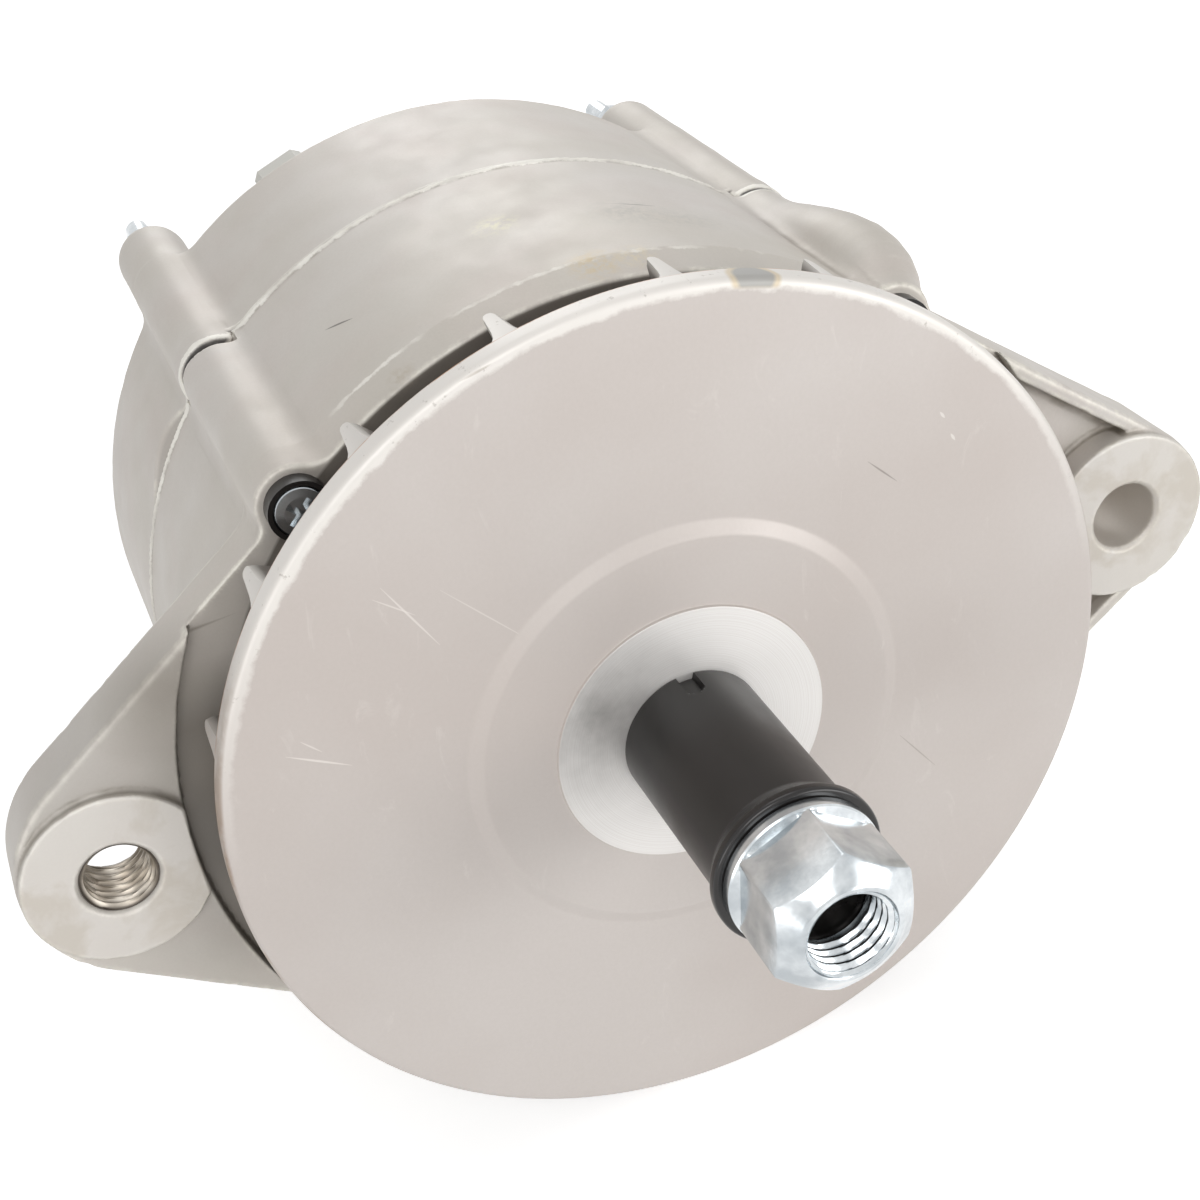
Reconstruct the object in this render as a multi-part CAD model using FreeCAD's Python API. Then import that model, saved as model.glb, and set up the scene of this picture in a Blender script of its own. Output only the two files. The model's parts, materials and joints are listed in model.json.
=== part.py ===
import FreeCAD
import Part
import math
import os

from FreeCAD import Vector

# Alternator head. Millimetres. The shaft runs along Y and its nut points to -Y.
# Y = 0 is the front face of the fan hub, where a pulley would seat.
# X runs through the two mounting ears and Z is up.

AXIS = Vector(0, 1, 0)

# Fan
FAN_RADIUS = 98.0
FAN_HUB_RADIUS = 29.8
FAN_HUB_STEP = 0.7
FAN_PLATEAU_RADIUS = 48.2
FAN_PLATEAU_SLOPE = 2.6
FAN_FACE_Y = 2.1
FAN_BACK_Y = 7.7
FAN_EDGE_ROUND = 2.8
FAN_HUB_BACK_RADIUS = 27.0
FAN_HUB_BACK_Y = 24.0
BLADE_COUNT = 18
BLADE_INNER_RADIUS = 57.0
BLADE_TIP_Y = 19.6
BLADE_ROOT_WIDTH = 4.6
BLADE_TIP_WIDTH = 2.0
BLADE_FIRST_ANGLE = 2.5
BLADE_SKEW = 14.0

# Shaft
SHAFT_SEAT_RADIUS = 11.0
SHAFT_CORE_RADIUS = 15.0
SHAFT_STEP_RADIUS = 10.5
KEY_WIDTH = 5.0
KEY_HEIGHT = 3.6
KEY_LENGTH = 13.0
KEY_SHAFT_DEPTH = 2.2

# Sleeve, washer and nut in front of the fan
SLEEVE_RADIUS = 15.35
SLEEVE_LENGTH = 46.4
SLEEVE_SLOT_WIDTH = 4.0
SLEEVE_SLOT_LENGTH = 7.0
SLEEVE_SLOT_DEPTH = 1.4
SEAT_WASHER_RADIUS = 17.5
SEAT_WASHER_THICKNESS = 2.5
NUT_FLANGE_RADIUS = 15.9
NUT_FLANGE_THICKNESS = 3.0
NUT_CORNER_RADIUS = 15.85
NUT_CORNER_ANGLE = 83.7
NUT_HEX_LENGTH = 14.3
NUT_CONE_LENGTH = 4.0
NUT_FRONT_RADIUS = 10.4
NUT_MOUTH_RADIUS = 9.4
NUT_MOUTH_DEPTH = 0.5
THREAD_RADIUS = 9.0
SHAFT_END_RECESS = 9.7

# Housing shells
SHELL_RADIUS = 93.9
SHELL_WALL = 6.4
SHELL_REAR_TAPER = 0.3
FRONT_FACE_Y = 25.3
FRONT_BEVEL_DEPTH = 2.3
FRONT_BEVEL_Y = 33.3
FRONT_PLATE_THICKNESS = 8.0
SEAM_Y = 95.5
REAR_EDGE_Y = 150.6
REAR_EDGE_ROUND = 2.0
REAR_PLATE_THICKNESS = 7.6
STATOR_SHOULDER = 2.5
WINDOW_HUB_MARGIN = 6.0
WINDOW_WALL_MARGIN = 7.0
FRONT_WINDOW_COUNT = 12
REAR_WINDOW_COUNT = 8
WINDOW_SPOKE = 9.0

# Through bolts and their tubes
BOLT_CIRCLE_INSET = 2.1
BOLT_FIRST_ANGLE = 43.9
BOLT_COUNT = 4
TUBE_RADIUS = 8.75
TUBE_FRONT_RADIUS = 8.1
TUBE_FILLET = 7.0
TUBE_SEAM_Y = 92.3
TUBE_SEAM_GAP = 0.35
TUBE_END_Y = 176.0
TUBE_END_ROUND = 3.2
BOLT_RADIUS = 3.0
BOLT_CLEARANCE = 0.3
BOLT_HEAD_RADIUS = 5.45
BOLT_HEAD_HEIGHT = 4.2
BOLT_HEAD_DOME = 0.7
BOLT_CROSS_WIDTH = 1.5
BOLT_CROSS_SPAN = 6.4
BOLT_CROSS_DEPTH = 2.4
BOLT_RING_RADIUS = 6.45
BOLT_RING_HEIGHT = 3.6
BOLT_TIP_Y = 196.0
BOLT_TIP_CHAMFER = 0.8
BOLT_WASHER_RADIUS = 6.0
BOLT_WASHER_THICKNESS = 1.2
BOLT_NUT_FLATS = 10.0
BOLT_NUT_HEIGHT = 5.0

# Swelling on the outer side of the pivot-side tube: y, offset outwards, radius
SWELLING = (
    (27.0, 0.0, 8.0),
    (30.0, 1.2, 8.3),
    (34.0, 3.1, 8.9),
    (38.5, 4.2, 9.5),
    (43.5, 4.8, 9.9),
    (49.5, 5.0, 10.1),
    (57.0, 4.5, 10.0),
    (64.0, 3.6, 9.6),
    (73.0, 2.0, 9.1),
    (83.0, -0.2, 8.2),
)

# Ears
EAR_REACH = 24.3
EAR_FACE_Y = 19.9
EAR_WEB_Y = 22.1
THREAD_EAR_BACK_Y = 36.7
THREAD_EAR_BOSS_RADIUS = 19.0
THREAD_EAR_END_OFFSET = 8.5
THREAD_EAR_END_RADIUS = 28.5
THREAD_EAR_ROOT = 1.0
THREAD_EAR_HOLE_RADIUS = 8.0
PIVOT_EAR_BACK_Y = 44.0
PIVOT_EAR_BOSS_RADIUS = 20.3
PIVOT_EAR_END_RADIUS = 20.6
PIVOT_EAR_UPPER_ROOT = 4.0
PIVOT_EAR_LOWER_ROOT = -5.0
PIVOT_EAR_BORE_RADIUS = 8.0
PIVOT_EAR_RIM = 3.4
PIVOT_EAR_POCKET_DEPTH = 5.0
EAR_EDGE_CHAMFER = 0.8
EAR_HOLE_CHAMFER = 0.7
FAN_RELIEF_CLEARANCE = 4.2

# Crescent notch in the rear housing at the seam, and the lips of its tubes
NOTCH_START_ANGLE = 140.0
NOTCH_END_ANGLE = 157.0
NOTCH_DEPTH_Y = 5.2
NOTCH_BEVEL_Y = 12.5
NOTCH_RADIAL_DEPTH = 4.0
LIP_RADIAL = 0.35
LIP_LENGTH = 9.0

# Front bearing
FRONT_BEARING_BORE = 12.5
FRONT_BEARING_OUTER = 31.0
FRONT_BEARING_WIDTH = 17.0
FRONT_BEARING_BALL = 5.1
FRONT_BEARING_BALLS = 8
SPACER_RING_RADIUS = 18.0
SPACER_RING_LENGTH = 6.8
HUB_LIP_CLEARANCE = 1.5
FRONT_HUB_RADIUS = 45.0
RETAINER_THICKNESS = 2.5
RETAINER_INNER_RADIUS = 27.5
RETAINER_OUTER_RADIUS = 44.0
RETAINER_SCREW_CIRCLE_RADIUS = 38.0
RETAINER_SCREW_COUNT = 4
RETAINER_SCREW_RADIUS = 2.5
RETAINER_SCREW_DEPTH = 9.0
RETAINER_HEAD_RADIUS = 4.5
RETAINER_HEAD_HEIGHT = 2.8

# Rear bearing
REAR_BEARING_BORE = 8.5
REAR_BEARING_OUTER = 23.5
REAR_BEARING_WIDTH = 14.0
REAR_BEARING_BALL = 4.0
REAR_BEARING_BALLS = 8
REAR_HUB_RADIUS = 32.0
REAR_HUB_FRONT_Y = 132.0
REAR_HUB_LIP = 2.6
REAR_LIP_OPENING = 13.0

# Shared bearing proportions
RACE_SHARE_LAND = 3.8
BALL_GAP = 0.05
CAGE_WIDTH_SHARE = 1.15
CAGE_THICKNESS = 2.2
SEAL_THICKNESS = 0.9
SEAL_INSET = 0.5
SEAL_GAP = 0.4

# Rotor, as shares of its outer radius where the magnetic parts follow it
POLE_FRONT_Y = 58.0
POLE_DISC = 14.0
CORE_LENGTH = 40.0
CORE_SHARE = 0.489
COIL_GAP = 1.0
POLE_DISC_SHARE = 0.82
POLE_PAIRS = 6
FINGER_ROOT_WIDTH_SHARE = 0.473
FINGER_TIP_WIDTH_SHARE = 0.174
FINGER_ROOT_INNER_SHARE = 0.789
FINGER_TIP_INNER_SHARE = 0.923
FINGER_FOOT_DEPTH_SHARE = 0.22
FINGER_SKIN = 6.0
FINGER_END_GAP = 5.0

# Stator
AIR_GAP = 0.6
STATOR_FRONT_Y = 72.0
STATOR_LENGTH = 40.0
STATOR_SLOTS = 36
STATOR_INNER_SHARE = 0.7314
SLOT_DEPTH_SHARE = 0.638
SLOT_WIDTH_SHARE = 0.0875
SLOT_LIP = 2.0
SLOT_MOUTH = 1.4
WINDING_OVERHANG = 12.0
WINDING_GAP = 0.9

# Slip rings and brushes
SLIP_CORE_RADIUS = 12.0
SLIP_RING_RADIUS = 15.0
SLIP_FRONT_Y = 155.0
SLIP_LENGTH = 26.0
SLIP_RING_WIDTH = 8.0
SLIP_RING_INSET = 2.5
BRUSH_Y_WIDTH = 5.0
BRUSH_X_WIDTH = 8.0
BRUSH_LENGTH = 18.0
BRUSH_GAP = 0.05
BRUSH_GUIDE_GAP = 0.1
SPRING_OUTER_RADIUS = 2.1
SPRING_INNER_RADIUS = 1.4
SPRING_LENGTH = 9.0
HOLDER_WALL = 2.2
HOLDER_CLEARANCE = 2.0
REGULATOR_DEPTH = 7.0
REGULATOR_WIDTH = 44.0

# Rectifier
PLATE_INNER_RADIUS = 37.0
PLATE_WINDOW_INSET = 10.0
PLATE_THICKNESS = 4.0
PLATE_SPREAD = 116.0
PLATE_CENTRE_ANGLE = 270.0
DIODE_RADIUS = 6.3
DIODE_HEIGHT = 9.5
DIODE_LEAD_RADIUS = 0.8
DIODE_LEAD_LENGTH = 3.0
DIODE_CIRCLE_SHIFT = 2.0
DIODES_PER_PLATE = 6
STANDOFF_RADIUS = 5.0
STANDOFF_HEIGHT = 9.5
STANDOFF_COUNT = 4
PLATE_SCREW_RADIUS = 2.0
PLATE_SCREW_HEAD = 3.8
PLATE_SCREW_HEAD_HEIGHT = 2.6
PLATE_SCREW_DEPTH = 5.0

# Rear cover and terminals
COVER_PLATE_CLEARANCE = 6.0
COVER_WALL = 1.6
COVER_REAR_Y = 186.0
COVER_ROUND = 5.0
COVER_TAB_REACH = 12.0
COVER_TAB_WIDTH = 15.0
COVER_TAB_COUNT = 4
COVER_SCREW_OFFSET = 6.0
COVER_SCREW_RADIUS = 2.5
COVER_SCREW_DEPTH = 6.0
COVER_SCREW_HEAD = 4.6
COVER_SCREW_HEAD_HEIGHT = 3.0
COVER_SLOT_COUNT = 20
COVER_SLOT_WIDTH = 5.0
COVER_SLOT_INNER = 34.0
COVER_SLOT_MARGIN = 10.0
OUTPUT_STUD_ANGLE = 322.0
OUTPUT_STUD_RADIUS = 4.0
OUTPUT_STUD_TIP_Y = 204.0
OUTPUT_BASE_RADIUS = 6.5
OUTPUT_INSULATOR_RADIUS = 10.0
OUTPUT_INSULATOR_NECK = 7.0
OUTPUT_INSULATOR_RISE = 3.0
OUTPUT_NUT_FLATS = 13.0
OUTPUT_NUT_HEIGHT = 6.0
BLOCK_ANGLE = 109.1
BLOCK_WIDTH = 13.4
BLOCK_INSET = 3.7
BLOCK_DEPTH = 12.2
BLOCK_CORNER = 1.8
BLOCK_LENGTH = 13.0

# Worked out from the sizes above
SHELL_REAR_RADIUS = SHELL_RADIUS - SHELL_REAR_TAPER
SHELL_INNER_RADIUS = SHELL_RADIUS - SHELL_WALL
FRONT_FACE_RADIUS = SHELL_RADIUS - FRONT_BEVEL_DEPTH
BOLT_CIRCLE_RADIUS = SHELL_RADIUS - BOLT_CIRCLE_INSET
EAR_X = SHELL_RADIUS + EAR_REACH
THREAD_EAR_END_X = EAR_X - THREAD_EAR_END_OFFSET
FAN_RELIEF_RADIUS = FAN_RADIUS + FAN_RELIEF_CLEARANCE
WINDOW_INNER_RADIUS = FRONT_HUB_RADIUS + WINDOW_HUB_MARGIN
WINDOW_OUTER_RADIUS = SHELL_INNER_RADIUS - STATOR_SHOULDER - WINDOW_WALL_MARGIN
STATOR_INNER_RADIUS = SHELL_INNER_RADIUS * STATOR_INNER_SHARE
SLOT_DEPTH = (SHELL_INNER_RADIUS - STATOR_INNER_RADIUS) * SLOT_DEPTH_SHARE
SLOT_WIDTH = STATOR_INNER_RADIUS * SLOT_WIDTH_SHARE
ROTOR_RADIUS = STATOR_INNER_RADIUS - AIR_GAP
CORE_RADIUS = ROTOR_RADIUS * CORE_SHARE
POLE_DISC_RADIUS = ROTOR_RADIUS * POLE_DISC_SHARE
FINGER_ROOT_WIDTH = ROTOR_RADIUS * FINGER_ROOT_WIDTH_SHARE
FINGER_TIP_WIDTH = ROTOR_RADIUS * FINGER_TIP_WIDTH_SHARE
FINGER_ROOT_INNER = ROTOR_RADIUS * FINGER_ROOT_INNER_SHARE
FINGER_TIP_INNER = ROTOR_RADIUS * FINGER_TIP_INNER_SHARE
FINGER_FOOT_DEPTH = ROTOR_RADIUS * FINGER_FOOT_DEPTH_SHARE
COIL_RADIUS = FINGER_ROOT_INNER
PLATE_OUTER_RADIUS = WINDOW_OUTER_RADIUS - PLATE_WINDOW_INSET
DIODE_CIRCLE_RADIUS = (PLATE_INNER_RADIUS + PLATE_OUTER_RADIUS) / 2 - DIODE_CIRCLE_SHIFT
COVER_RADIUS = PLATE_OUTER_RADIUS + COVER_PLATE_CLEARANCE
COVER_TAB_RADIUS = COVER_RADIUS + COVER_TAB_REACH
COVER_SCREW_CIRCLE_RADIUS = COVER_RADIUS + COVER_SCREW_OFFSET
COVER_SLOT_OUTER = COVER_RADIUS - COVER_SLOT_MARGIN
BLOCK_OUTER_RADIUS = SHELL_RADIUS - BLOCK_INSET
BLOCK_INNER_RADIUS = BLOCK_OUTER_RADIUS - BLOCK_DEPTH
SLEEVE_FRONT_Y = -SLEEVE_LENGTH
SEAT_WASHER_FRONT_Y = SLEEVE_FRONT_Y - SEAT_WASHER_THICKNESS
NUT_FLANGE_FRONT_Y = SEAT_WASHER_FRONT_Y - NUT_FLANGE_THICKNESS
NUT_HEX_FRONT_Y = NUT_FLANGE_FRONT_Y - NUT_HEX_LENGTH
NUT_FRONT_Y = NUT_HEX_FRONT_Y - NUT_CONE_LENGTH
SHAFT_FRONT_Y = NUT_FRONT_Y + SHAFT_END_RECESS
FRONT_BEARING_Y = FAN_HUB_BACK_Y + SPACER_RING_LENGTH
FRONT_BEARING_BACK_Y = FRONT_BEARING_Y + FRONT_BEARING_WIDTH
FRONT_PLATE_BACK_Y = FRONT_FACE_Y + FRONT_PLATE_THICKNESS
STATOR_BACK_Y = STATOR_FRONT_Y + STATOR_LENGTH
REAR_FACE_Y = REAR_EDGE_Y + 0.4
REAR_PLATE_FRONT_Y = REAR_FACE_Y - REAR_PLATE_THICKNESS
REAR_BEARING_Y = REAR_FACE_Y - REAR_HUB_LIP - REAR_BEARING_WIDTH + 2.0
REAR_BEARING_BACK_Y = REAR_BEARING_Y + REAR_BEARING_WIDTH
REAR_HUB_BACK_Y = REAR_BEARING_BACK_Y + REAR_HUB_LIP
CORE_FRONT_Y = POLE_FRONT_Y + POLE_DISC
CORE_BACK_Y = CORE_FRONT_Y + CORE_LENGTH
POLE_BACK_Y = CORE_BACK_Y + POLE_DISC
SLIP_BACK_Y = SLIP_FRONT_Y + SLIP_LENGTH
SLIP_RING_STARTS = (
    SLIP_FRONT_Y + SLIP_RING_INSET,
    SLIP_BACK_Y - SLIP_RING_INSET - SLIP_RING_WIDTH,
)
POSITIVE_PLATE_Y = REAR_FACE_Y + PLATE_THICKNESS + STANDOFF_HEIGHT
BOLT_ANGLES = [BOLT_FIRST_ANGLE + 360.0 * k / BOLT_COUNT for k in range(BOLT_COUNT)]


def polar(radius, angle, y=0.0):
    turn = math.radians(angle)
    return Vector(radius * math.cos(turn), y, radius * math.sin(turn))


def rod(radius, y0, y1, centre=Vector(0, 0, 0)):
    return Part.makeCylinder(radius, y1 - y0, Vector(centre.x, y0, centre.z), AXIS)


def ring(outer, inner, y0, y1, centre=Vector(0, 0, 0)):
    return rod(outer, y0, y1, centre).cut(rod(inner, y0 - 1, y1 + 1, centre))


def turned(points):
    """Solid turned about the shaft axis from (radius, y) corner points."""
    corners = [Vector(radius, y, 0) for radius, y in points]
    face = Part.Face(Part.makePolygon(corners + corners[:1]))
    return face.revolve(Vector(0, 0, 0), AXIS, 360)


def box(x0, x1, y0, y1, z0, z1):
    return Part.makeBox(x1 - x0, y1 - y0, z1 - z0, Vector(x0, y0, z0))


def spun(shape, angle):
    """Copy of a shape turned about the shaft axis, from +X towards +Z."""
    copy = shape.copy()
    copy.rotate(Vector(0, 0, 0), AXIS, -angle)
    return copy


def hexagon(flats, y0, y1, centre, first_angle=0.0, bore=0.0):
    corner = flats / math.sqrt(3)
    corners = [
        Vector(centre.x, y0, centre.z) + polar(corner, first_angle + 60 * k)
        for k in range(6)
    ]
    solid = Part.Face(Part.makePolygon(corners + corners[:1])).extrude(Vector(0, y1 - y0, 0))
    solid = solid.common(crowned_blank(corner, flats / 2, y0, y1, centre))
    if bore:
        solid = solid.cut(rod(bore, y0 - 1, y1 + 1, centre))
    return solid


def crowned_blank(corner, flat, y0, y1, centre):
    """Turned blank that rounds off the corners of a hexagon at both ends."""
    drop = (corner - flat) * 0.6
    blank = turned([(0, y0), (flat, y0), (corner, y0 + drop), (corner, y1 - drop), (flat, y1), (0, y1)])
    blank.translate(Vector(centre.x, 0, centre.z))
    return blank


def fused(shapes):
    first = shapes[0]
    if len(shapes) == 1:
        return first
    return first.fuse(shapes[1:]).removeSplitter()


def arc(start, middle, end):
    return Part.Arc(start, middle, end).toShape()


def boss_corners(wall, centre_radius, boss, fillet, angle, y):
    """Points where a round boss flows into the round wall through two fillets."""
    reach = wall + fillet
    cosine = (centre_radius ** 2 + reach ** 2 - (boss + fillet) ** 2) / (2 * centre_radius * reach)
    half = math.degrees(math.acos(cosine))
    centre = polar(centre_radius, angle, y)
    sides = []
    for side in (-1, 1):
        fillet_centre = polar(reach, angle + side * half, y)
        on_wall = polar(wall, angle + side * half, y)
        towards = centre - fillet_centre
        towards.normalize()
        on_boss = fillet_centre + towards * fillet
        middle = (on_wall - fillet_centre).normalize() + (on_boss - fillet_centre).normalize()
        middle.normalize()
        sides.append((on_wall, fillet_centre + middle * fillet, on_boss))
    return half, sides, polar(centre_radius + boss, angle, y)


def shell_wire(wall, boss, y, fillet=TUBE_FILLET):
    """Outline of the housing: a round wall with four filleted bolt tubes."""
    edges = []
    halves = []
    for angle in BOLT_ANGLES:
        half, sides, crest = boss_corners(wall, BOLT_CIRCLE_RADIUS, boss, fillet, angle, y)
        low, high = sides
        edges.append(arc(low[0], low[1], low[2]))
        edges.append(arc(low[2], crest, high[2]))
        edges.append(arc(high[2], high[1], high[0]))
        halves.append(half)
        start_angle = angle + half
        end_angle = angle + 360.0 / BOLT_COUNT - half
        middle = polar(wall, (start_angle + end_angle) / 2, y)
        edges.append(arc(high[0], middle, polar(wall, end_angle, y)))
    return Part.Wire(Part.__sortEdges__(edges))


def shell_prism(wall, boss, y0, y1):
    return Part.Face(shell_wire(wall, boss, y0)).extrude(Vector(0, y1 - y0, 0))


def window_cutter(inner, outer, spoke, y0, y1, first_angle, count):
    """Ring of air windows between two radii, left apart by straight spokes."""
    band = ring(outer, inner, y0, y1)
    spokes = []
    for k in range(count):
        bar = box(0, outer + 5, y0 - 1, y1 + 1, -spoke / 2, spoke / 2)
        spokes.append(spun(bar, first_angle + 360.0 * k / count))
    return band.cut(spokes)


def bolt_holes(y0, y1, radius):
    return [rod(radius, y0, y1, polar(BOLT_CIRCLE_RADIUS, angle)) for angle in BOLT_ANGLES]


def tangent_side(end_centre, end_radius, root_centre, root_offset, side):
    """Straight ear side that touches the end circle and passes near the bolt tube."""
    along = root_centre - end_centre
    distance = along.Length
    along.normalize()
    across = Vector(-along.z, 0, along.x) * side
    lean = (end_radius - root_offset) / distance
    normal = along * lean + across * math.sqrt(1 - lean ** 2)
    return end_centre + normal * end_radius, root_centre + normal * root_offset


def ear_face(end_x, end_radius, upper_tube, upper_root, lower_tube, lower_root, y, inset=0.0):
    outward = 1 if end_x > 0 else -1
    centre = Vector(end_x, y, 0)
    upper_centre = polar(BOLT_CIRCLE_RADIUS, upper_tube, y)
    lower_centre = polar(BOLT_CIRCLE_RADIUS, lower_tube, y)
    radius = end_radius - inset
    upper = tangent_side(centre, radius, upper_centre, upper_root - inset, -outward)
    lower = tangent_side(centre, radius, lower_centre, lower_root - inset, outward)
    tip = Vector(end_x + outward * radius, y, 0)
    inner = Vector(outward * (SHELL_RADIUS - SHELL_WALL), y, 0)
    edges = [
        Part.makeLine(upper[1], upper[0]),
        arc(upper[0], tip, lower[0]),
        Part.makeLine(lower[0], lower[1]),
        Part.makeLine(lower[1], inner),
        Part.makeLine(inner, upper[1]),
    ]
    return Part.Face(Part.Wire(edges))


def boss_with_edge(radius, y0, y1, centre):
    """Round boss with a small bevel round its machined face."""
    boss = turned([
        (0, y0),
        (radius, y0),
        (radius + EAR_EDGE_CHAMFER, y0 + EAR_EDGE_CHAMFER),
        (radius + EAR_EDGE_CHAMFER, y1),
        (0, y1),
    ])
    boss.translate(centre)
    return boss


def hole_with_mouths(radius, y0, y1, centre):
    """Through hole with a small chamfer at each mouth."""
    over = EAR_HOLE_CHAMFER
    cutter = turned([
        (0, y0 - over),
        (radius + 2 * over, y0 - over),
        (radius, y0 + over),
        (radius, y1 - over),
        (radius + 2 * over, y1 + over),
        (0, y1 + over),
    ])
    cutter.translate(centre)
    return cutter


def thread_ear():
    """Left ear: a flat lug with straight sides and a raised boss."""
    args = (BOLT_ANGLES[1], THREAD_EAR_ROOT, BOLT_ANGLES[2], THREAD_EAR_ROOT)
    outline = ear_face(-THREAD_EAR_END_X, THREAD_EAR_END_RADIUS, *args, EAR_WEB_Y)
    web = outline.extrude(Vector(0, THREAD_EAR_BACK_Y - EAR_WEB_Y, 0))
    centre = Vector(-EAR_X, 0, 0)
    boss = boss_with_edge(THREAD_EAR_BOSS_RADIUS, EAR_FACE_Y, THREAD_EAR_BACK_Y, centre)
    return web.fuse(boss)


def pivot_ear():
    """Right ear: a deep lug with a rim, a pocket and a raised boss."""
    args = (BOLT_ANGLES[0], PIVOT_EAR_UPPER_ROOT, BOLT_ANGLES[3], PIVOT_EAR_LOWER_ROOT)
    outline = ear_face(EAR_X, PIVOT_EAR_END_RADIUS, *args, EAR_WEB_Y)
    web = outline.extrude(Vector(0, PIVOT_EAR_BACK_Y - EAR_WEB_Y, 0))
    pocket_face = ear_face(EAR_X, PIVOT_EAR_END_RADIUS, *args, EAR_WEB_Y - 1, PIVOT_EAR_RIM)
    pocket = pocket_face.extrude(Vector(0, PIVOT_EAR_POCKET_DEPTH + 1, 0))
    web = web.cut(pocket)
    centre = Vector(EAR_X, 0, 0)
    boss = boss_with_edge(PIVOT_EAR_BOSS_RADIUS - EAR_EDGE_CHAMFER, EAR_FACE_Y, PIVOT_EAR_BACK_Y, centre)
    return web.fuse(boss)


def swelling():
    """Smooth swelling on the outer side of the pivot-side bolt tube."""
    sections = []
    for y, offset, radius in SWELLING:
        centre = polar(BOLT_CIRCLE_RADIUS + offset, BOLT_ANGLES[0], y)
        sections.append(Part.Wire(Part.makeCircle(radius, centre, AXIS)))
    return Part.makeLoft(sections, True, False)


def front_housing():
    bevel = Part.makeLoft(
        [
            shell_wire(FRONT_FACE_RADIUS, TUBE_FRONT_RADIUS, FRONT_FACE_Y),
            shell_wire(SHELL_RADIUS, TUBE_RADIUS, FRONT_BEVEL_Y),
        ],
        True,
        True,
    )
    body = shell_prism(SHELL_RADIUS, TUBE_RADIUS, FRONT_BEVEL_Y, SEAM_Y)
    body = body.fuse([bevel, swelling(), thread_ear(), pivot_ear()])
    narrow = SHELL_INNER_RADIUS - STATOR_SHOULDER
    hollow = turned([
        (FRONT_HUB_RADIUS, FRONT_PLATE_BACK_Y),
        (narrow, FRONT_PLATE_BACK_Y),
        (narrow, STATOR_FRONT_Y),
        (SHELL_INNER_RADIUS, STATOR_FRONT_Y),
        (SHELL_INNER_RADIUS, SEAM_Y + 1),
        (0, SEAM_Y + 1),
        (0, FRONT_BEARING_BACK_Y),
        (FRONT_HUB_RADIUS, FRONT_BEARING_BACK_Y),
    ])
    tubes = [
        rod(TUBE_RADIUS, FRONT_PLATE_BACK_Y - 1, SEAM_Y, polar(BOLT_CIRCLE_RADIUS, angle))
        for angle in BOLT_ANGLES
    ]
    stator_room = rod(SHELL_INNER_RADIUS, STATOR_FRONT_Y, SEAM_Y + 1)
    body = body.cut(hollow).fuse([tube.cut(stator_room) for tube in tubes])
    relief = rod(FAN_RELIEF_RADIUS, EAR_FACE_Y - 5, FRONT_FACE_Y)
    bearing_room = rod(FRONT_BEARING_OUTER, FRONT_BEARING_Y, FRONT_BEARING_BACK_Y + 1)
    opening = rod(SPACER_RING_RADIUS + HUB_LIP_CLEARANCE, FRONT_FACE_Y - 1, FRONT_BEARING_Y + 1)
    windows = window_cutter(
        WINDOW_INNER_RADIUS,
        WINDOW_OUTER_RADIUS,
        WINDOW_SPOKE,
        FRONT_FACE_Y - 1,
        FRONT_PLATE_BACK_Y + 1,
        BOLT_FIRST_ANGLE,
        FRONT_WINDOW_COUNT,
    )
    thread_hole = hole_with_mouths(
        THREAD_EAR_HOLE_RADIUS, EAR_FACE_Y, THREAD_EAR_BACK_Y, Vector(-EAR_X, 0, 0)
    )
    pivot_bore = hole_with_mouths(
        PIVOT_EAR_BORE_RADIUS, EAR_FACE_Y, PIVOT_EAR_BACK_Y, Vector(EAR_X, 0, 0)
    )
    screw_holes = [
        rod(RETAINER_SCREW_RADIUS, FRONT_BEARING_BACK_Y - RETAINER_SCREW_DEPTH, FRONT_BEARING_BACK_Y + 1, centre)
        for centre in retainer_screw_centres()
    ]
    holes = bolt_holes(FRONT_FACE_Y - 1, SEAM_Y + 1, BOLT_RADIUS + BOLT_CLEARANCE) + tube_seam_cutters()
    cutters = [relief, bearing_room, opening, windows, thread_hole, pivot_bore] + screw_holes + holes
    return body.cut(cutters)


def notch_cutter():
    """Crescent notch: a lens cut at the seam with a wide sloping bevel behind it."""
    middle = (NOTCH_START_ANGLE + NOTCH_END_ANGLE) / 2
    half_chord = SHELL_RADIUS * math.sin(math.radians((NOTCH_END_ANGLE - NOTCH_START_ANGLE) / 2))
    inner = lens(half_chord, NOTCH_DEPTH_Y, SHELL_RADIUS - NOTCH_RADIAL_DEPTH)
    outer = lens(half_chord, NOTCH_BEVEL_Y, SHELL_RADIUS + 1.5)
    cutter = Part.makeLoft([inner, outer], True, True)
    return spun(cutter, middle)


def lens(half_chord, depth, radius):
    """Closed lens-shaped wire facing +X at the seam."""
    low = Vector(radius, SEAM_Y - 0.5, -half_chord)
    high = Vector(radius, SEAM_Y - 0.5, half_chord)
    crest = Vector(radius, SEAM_Y + depth, 0)
    return Part.Wire([arc(low, crest, high), Part.makeLine(high, low)])


def rear_tube(angle):
    """Rear bolt tube with a rounded free end and a slightly proud lip at the seam."""
    turn = TUBE_END_ROUND
    low = TUBE_END_Y - turn
    body = turned([
        (0, SEAM_Y),
        (TUBE_RADIUS + LIP_RADIAL, SEAM_Y),
        (TUBE_RADIUS + LIP_RADIAL, SEAM_Y + LIP_LENGTH * 0.4),
        (TUBE_RADIUS, SEAM_Y + LIP_LENGTH),
        (TUBE_RADIUS, low),
        (TUBE_RADIUS - turn * 0.13, low + turn * 0.5),
        (TUBE_RADIUS - turn * 0.5, low + turn * 0.87),
        (TUBE_RADIUS - turn, TUBE_END_Y),
        (0, TUBE_END_Y),
    ])
    body.translate(polar(BOLT_CIRCLE_RADIUS, angle))
    return body


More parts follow.
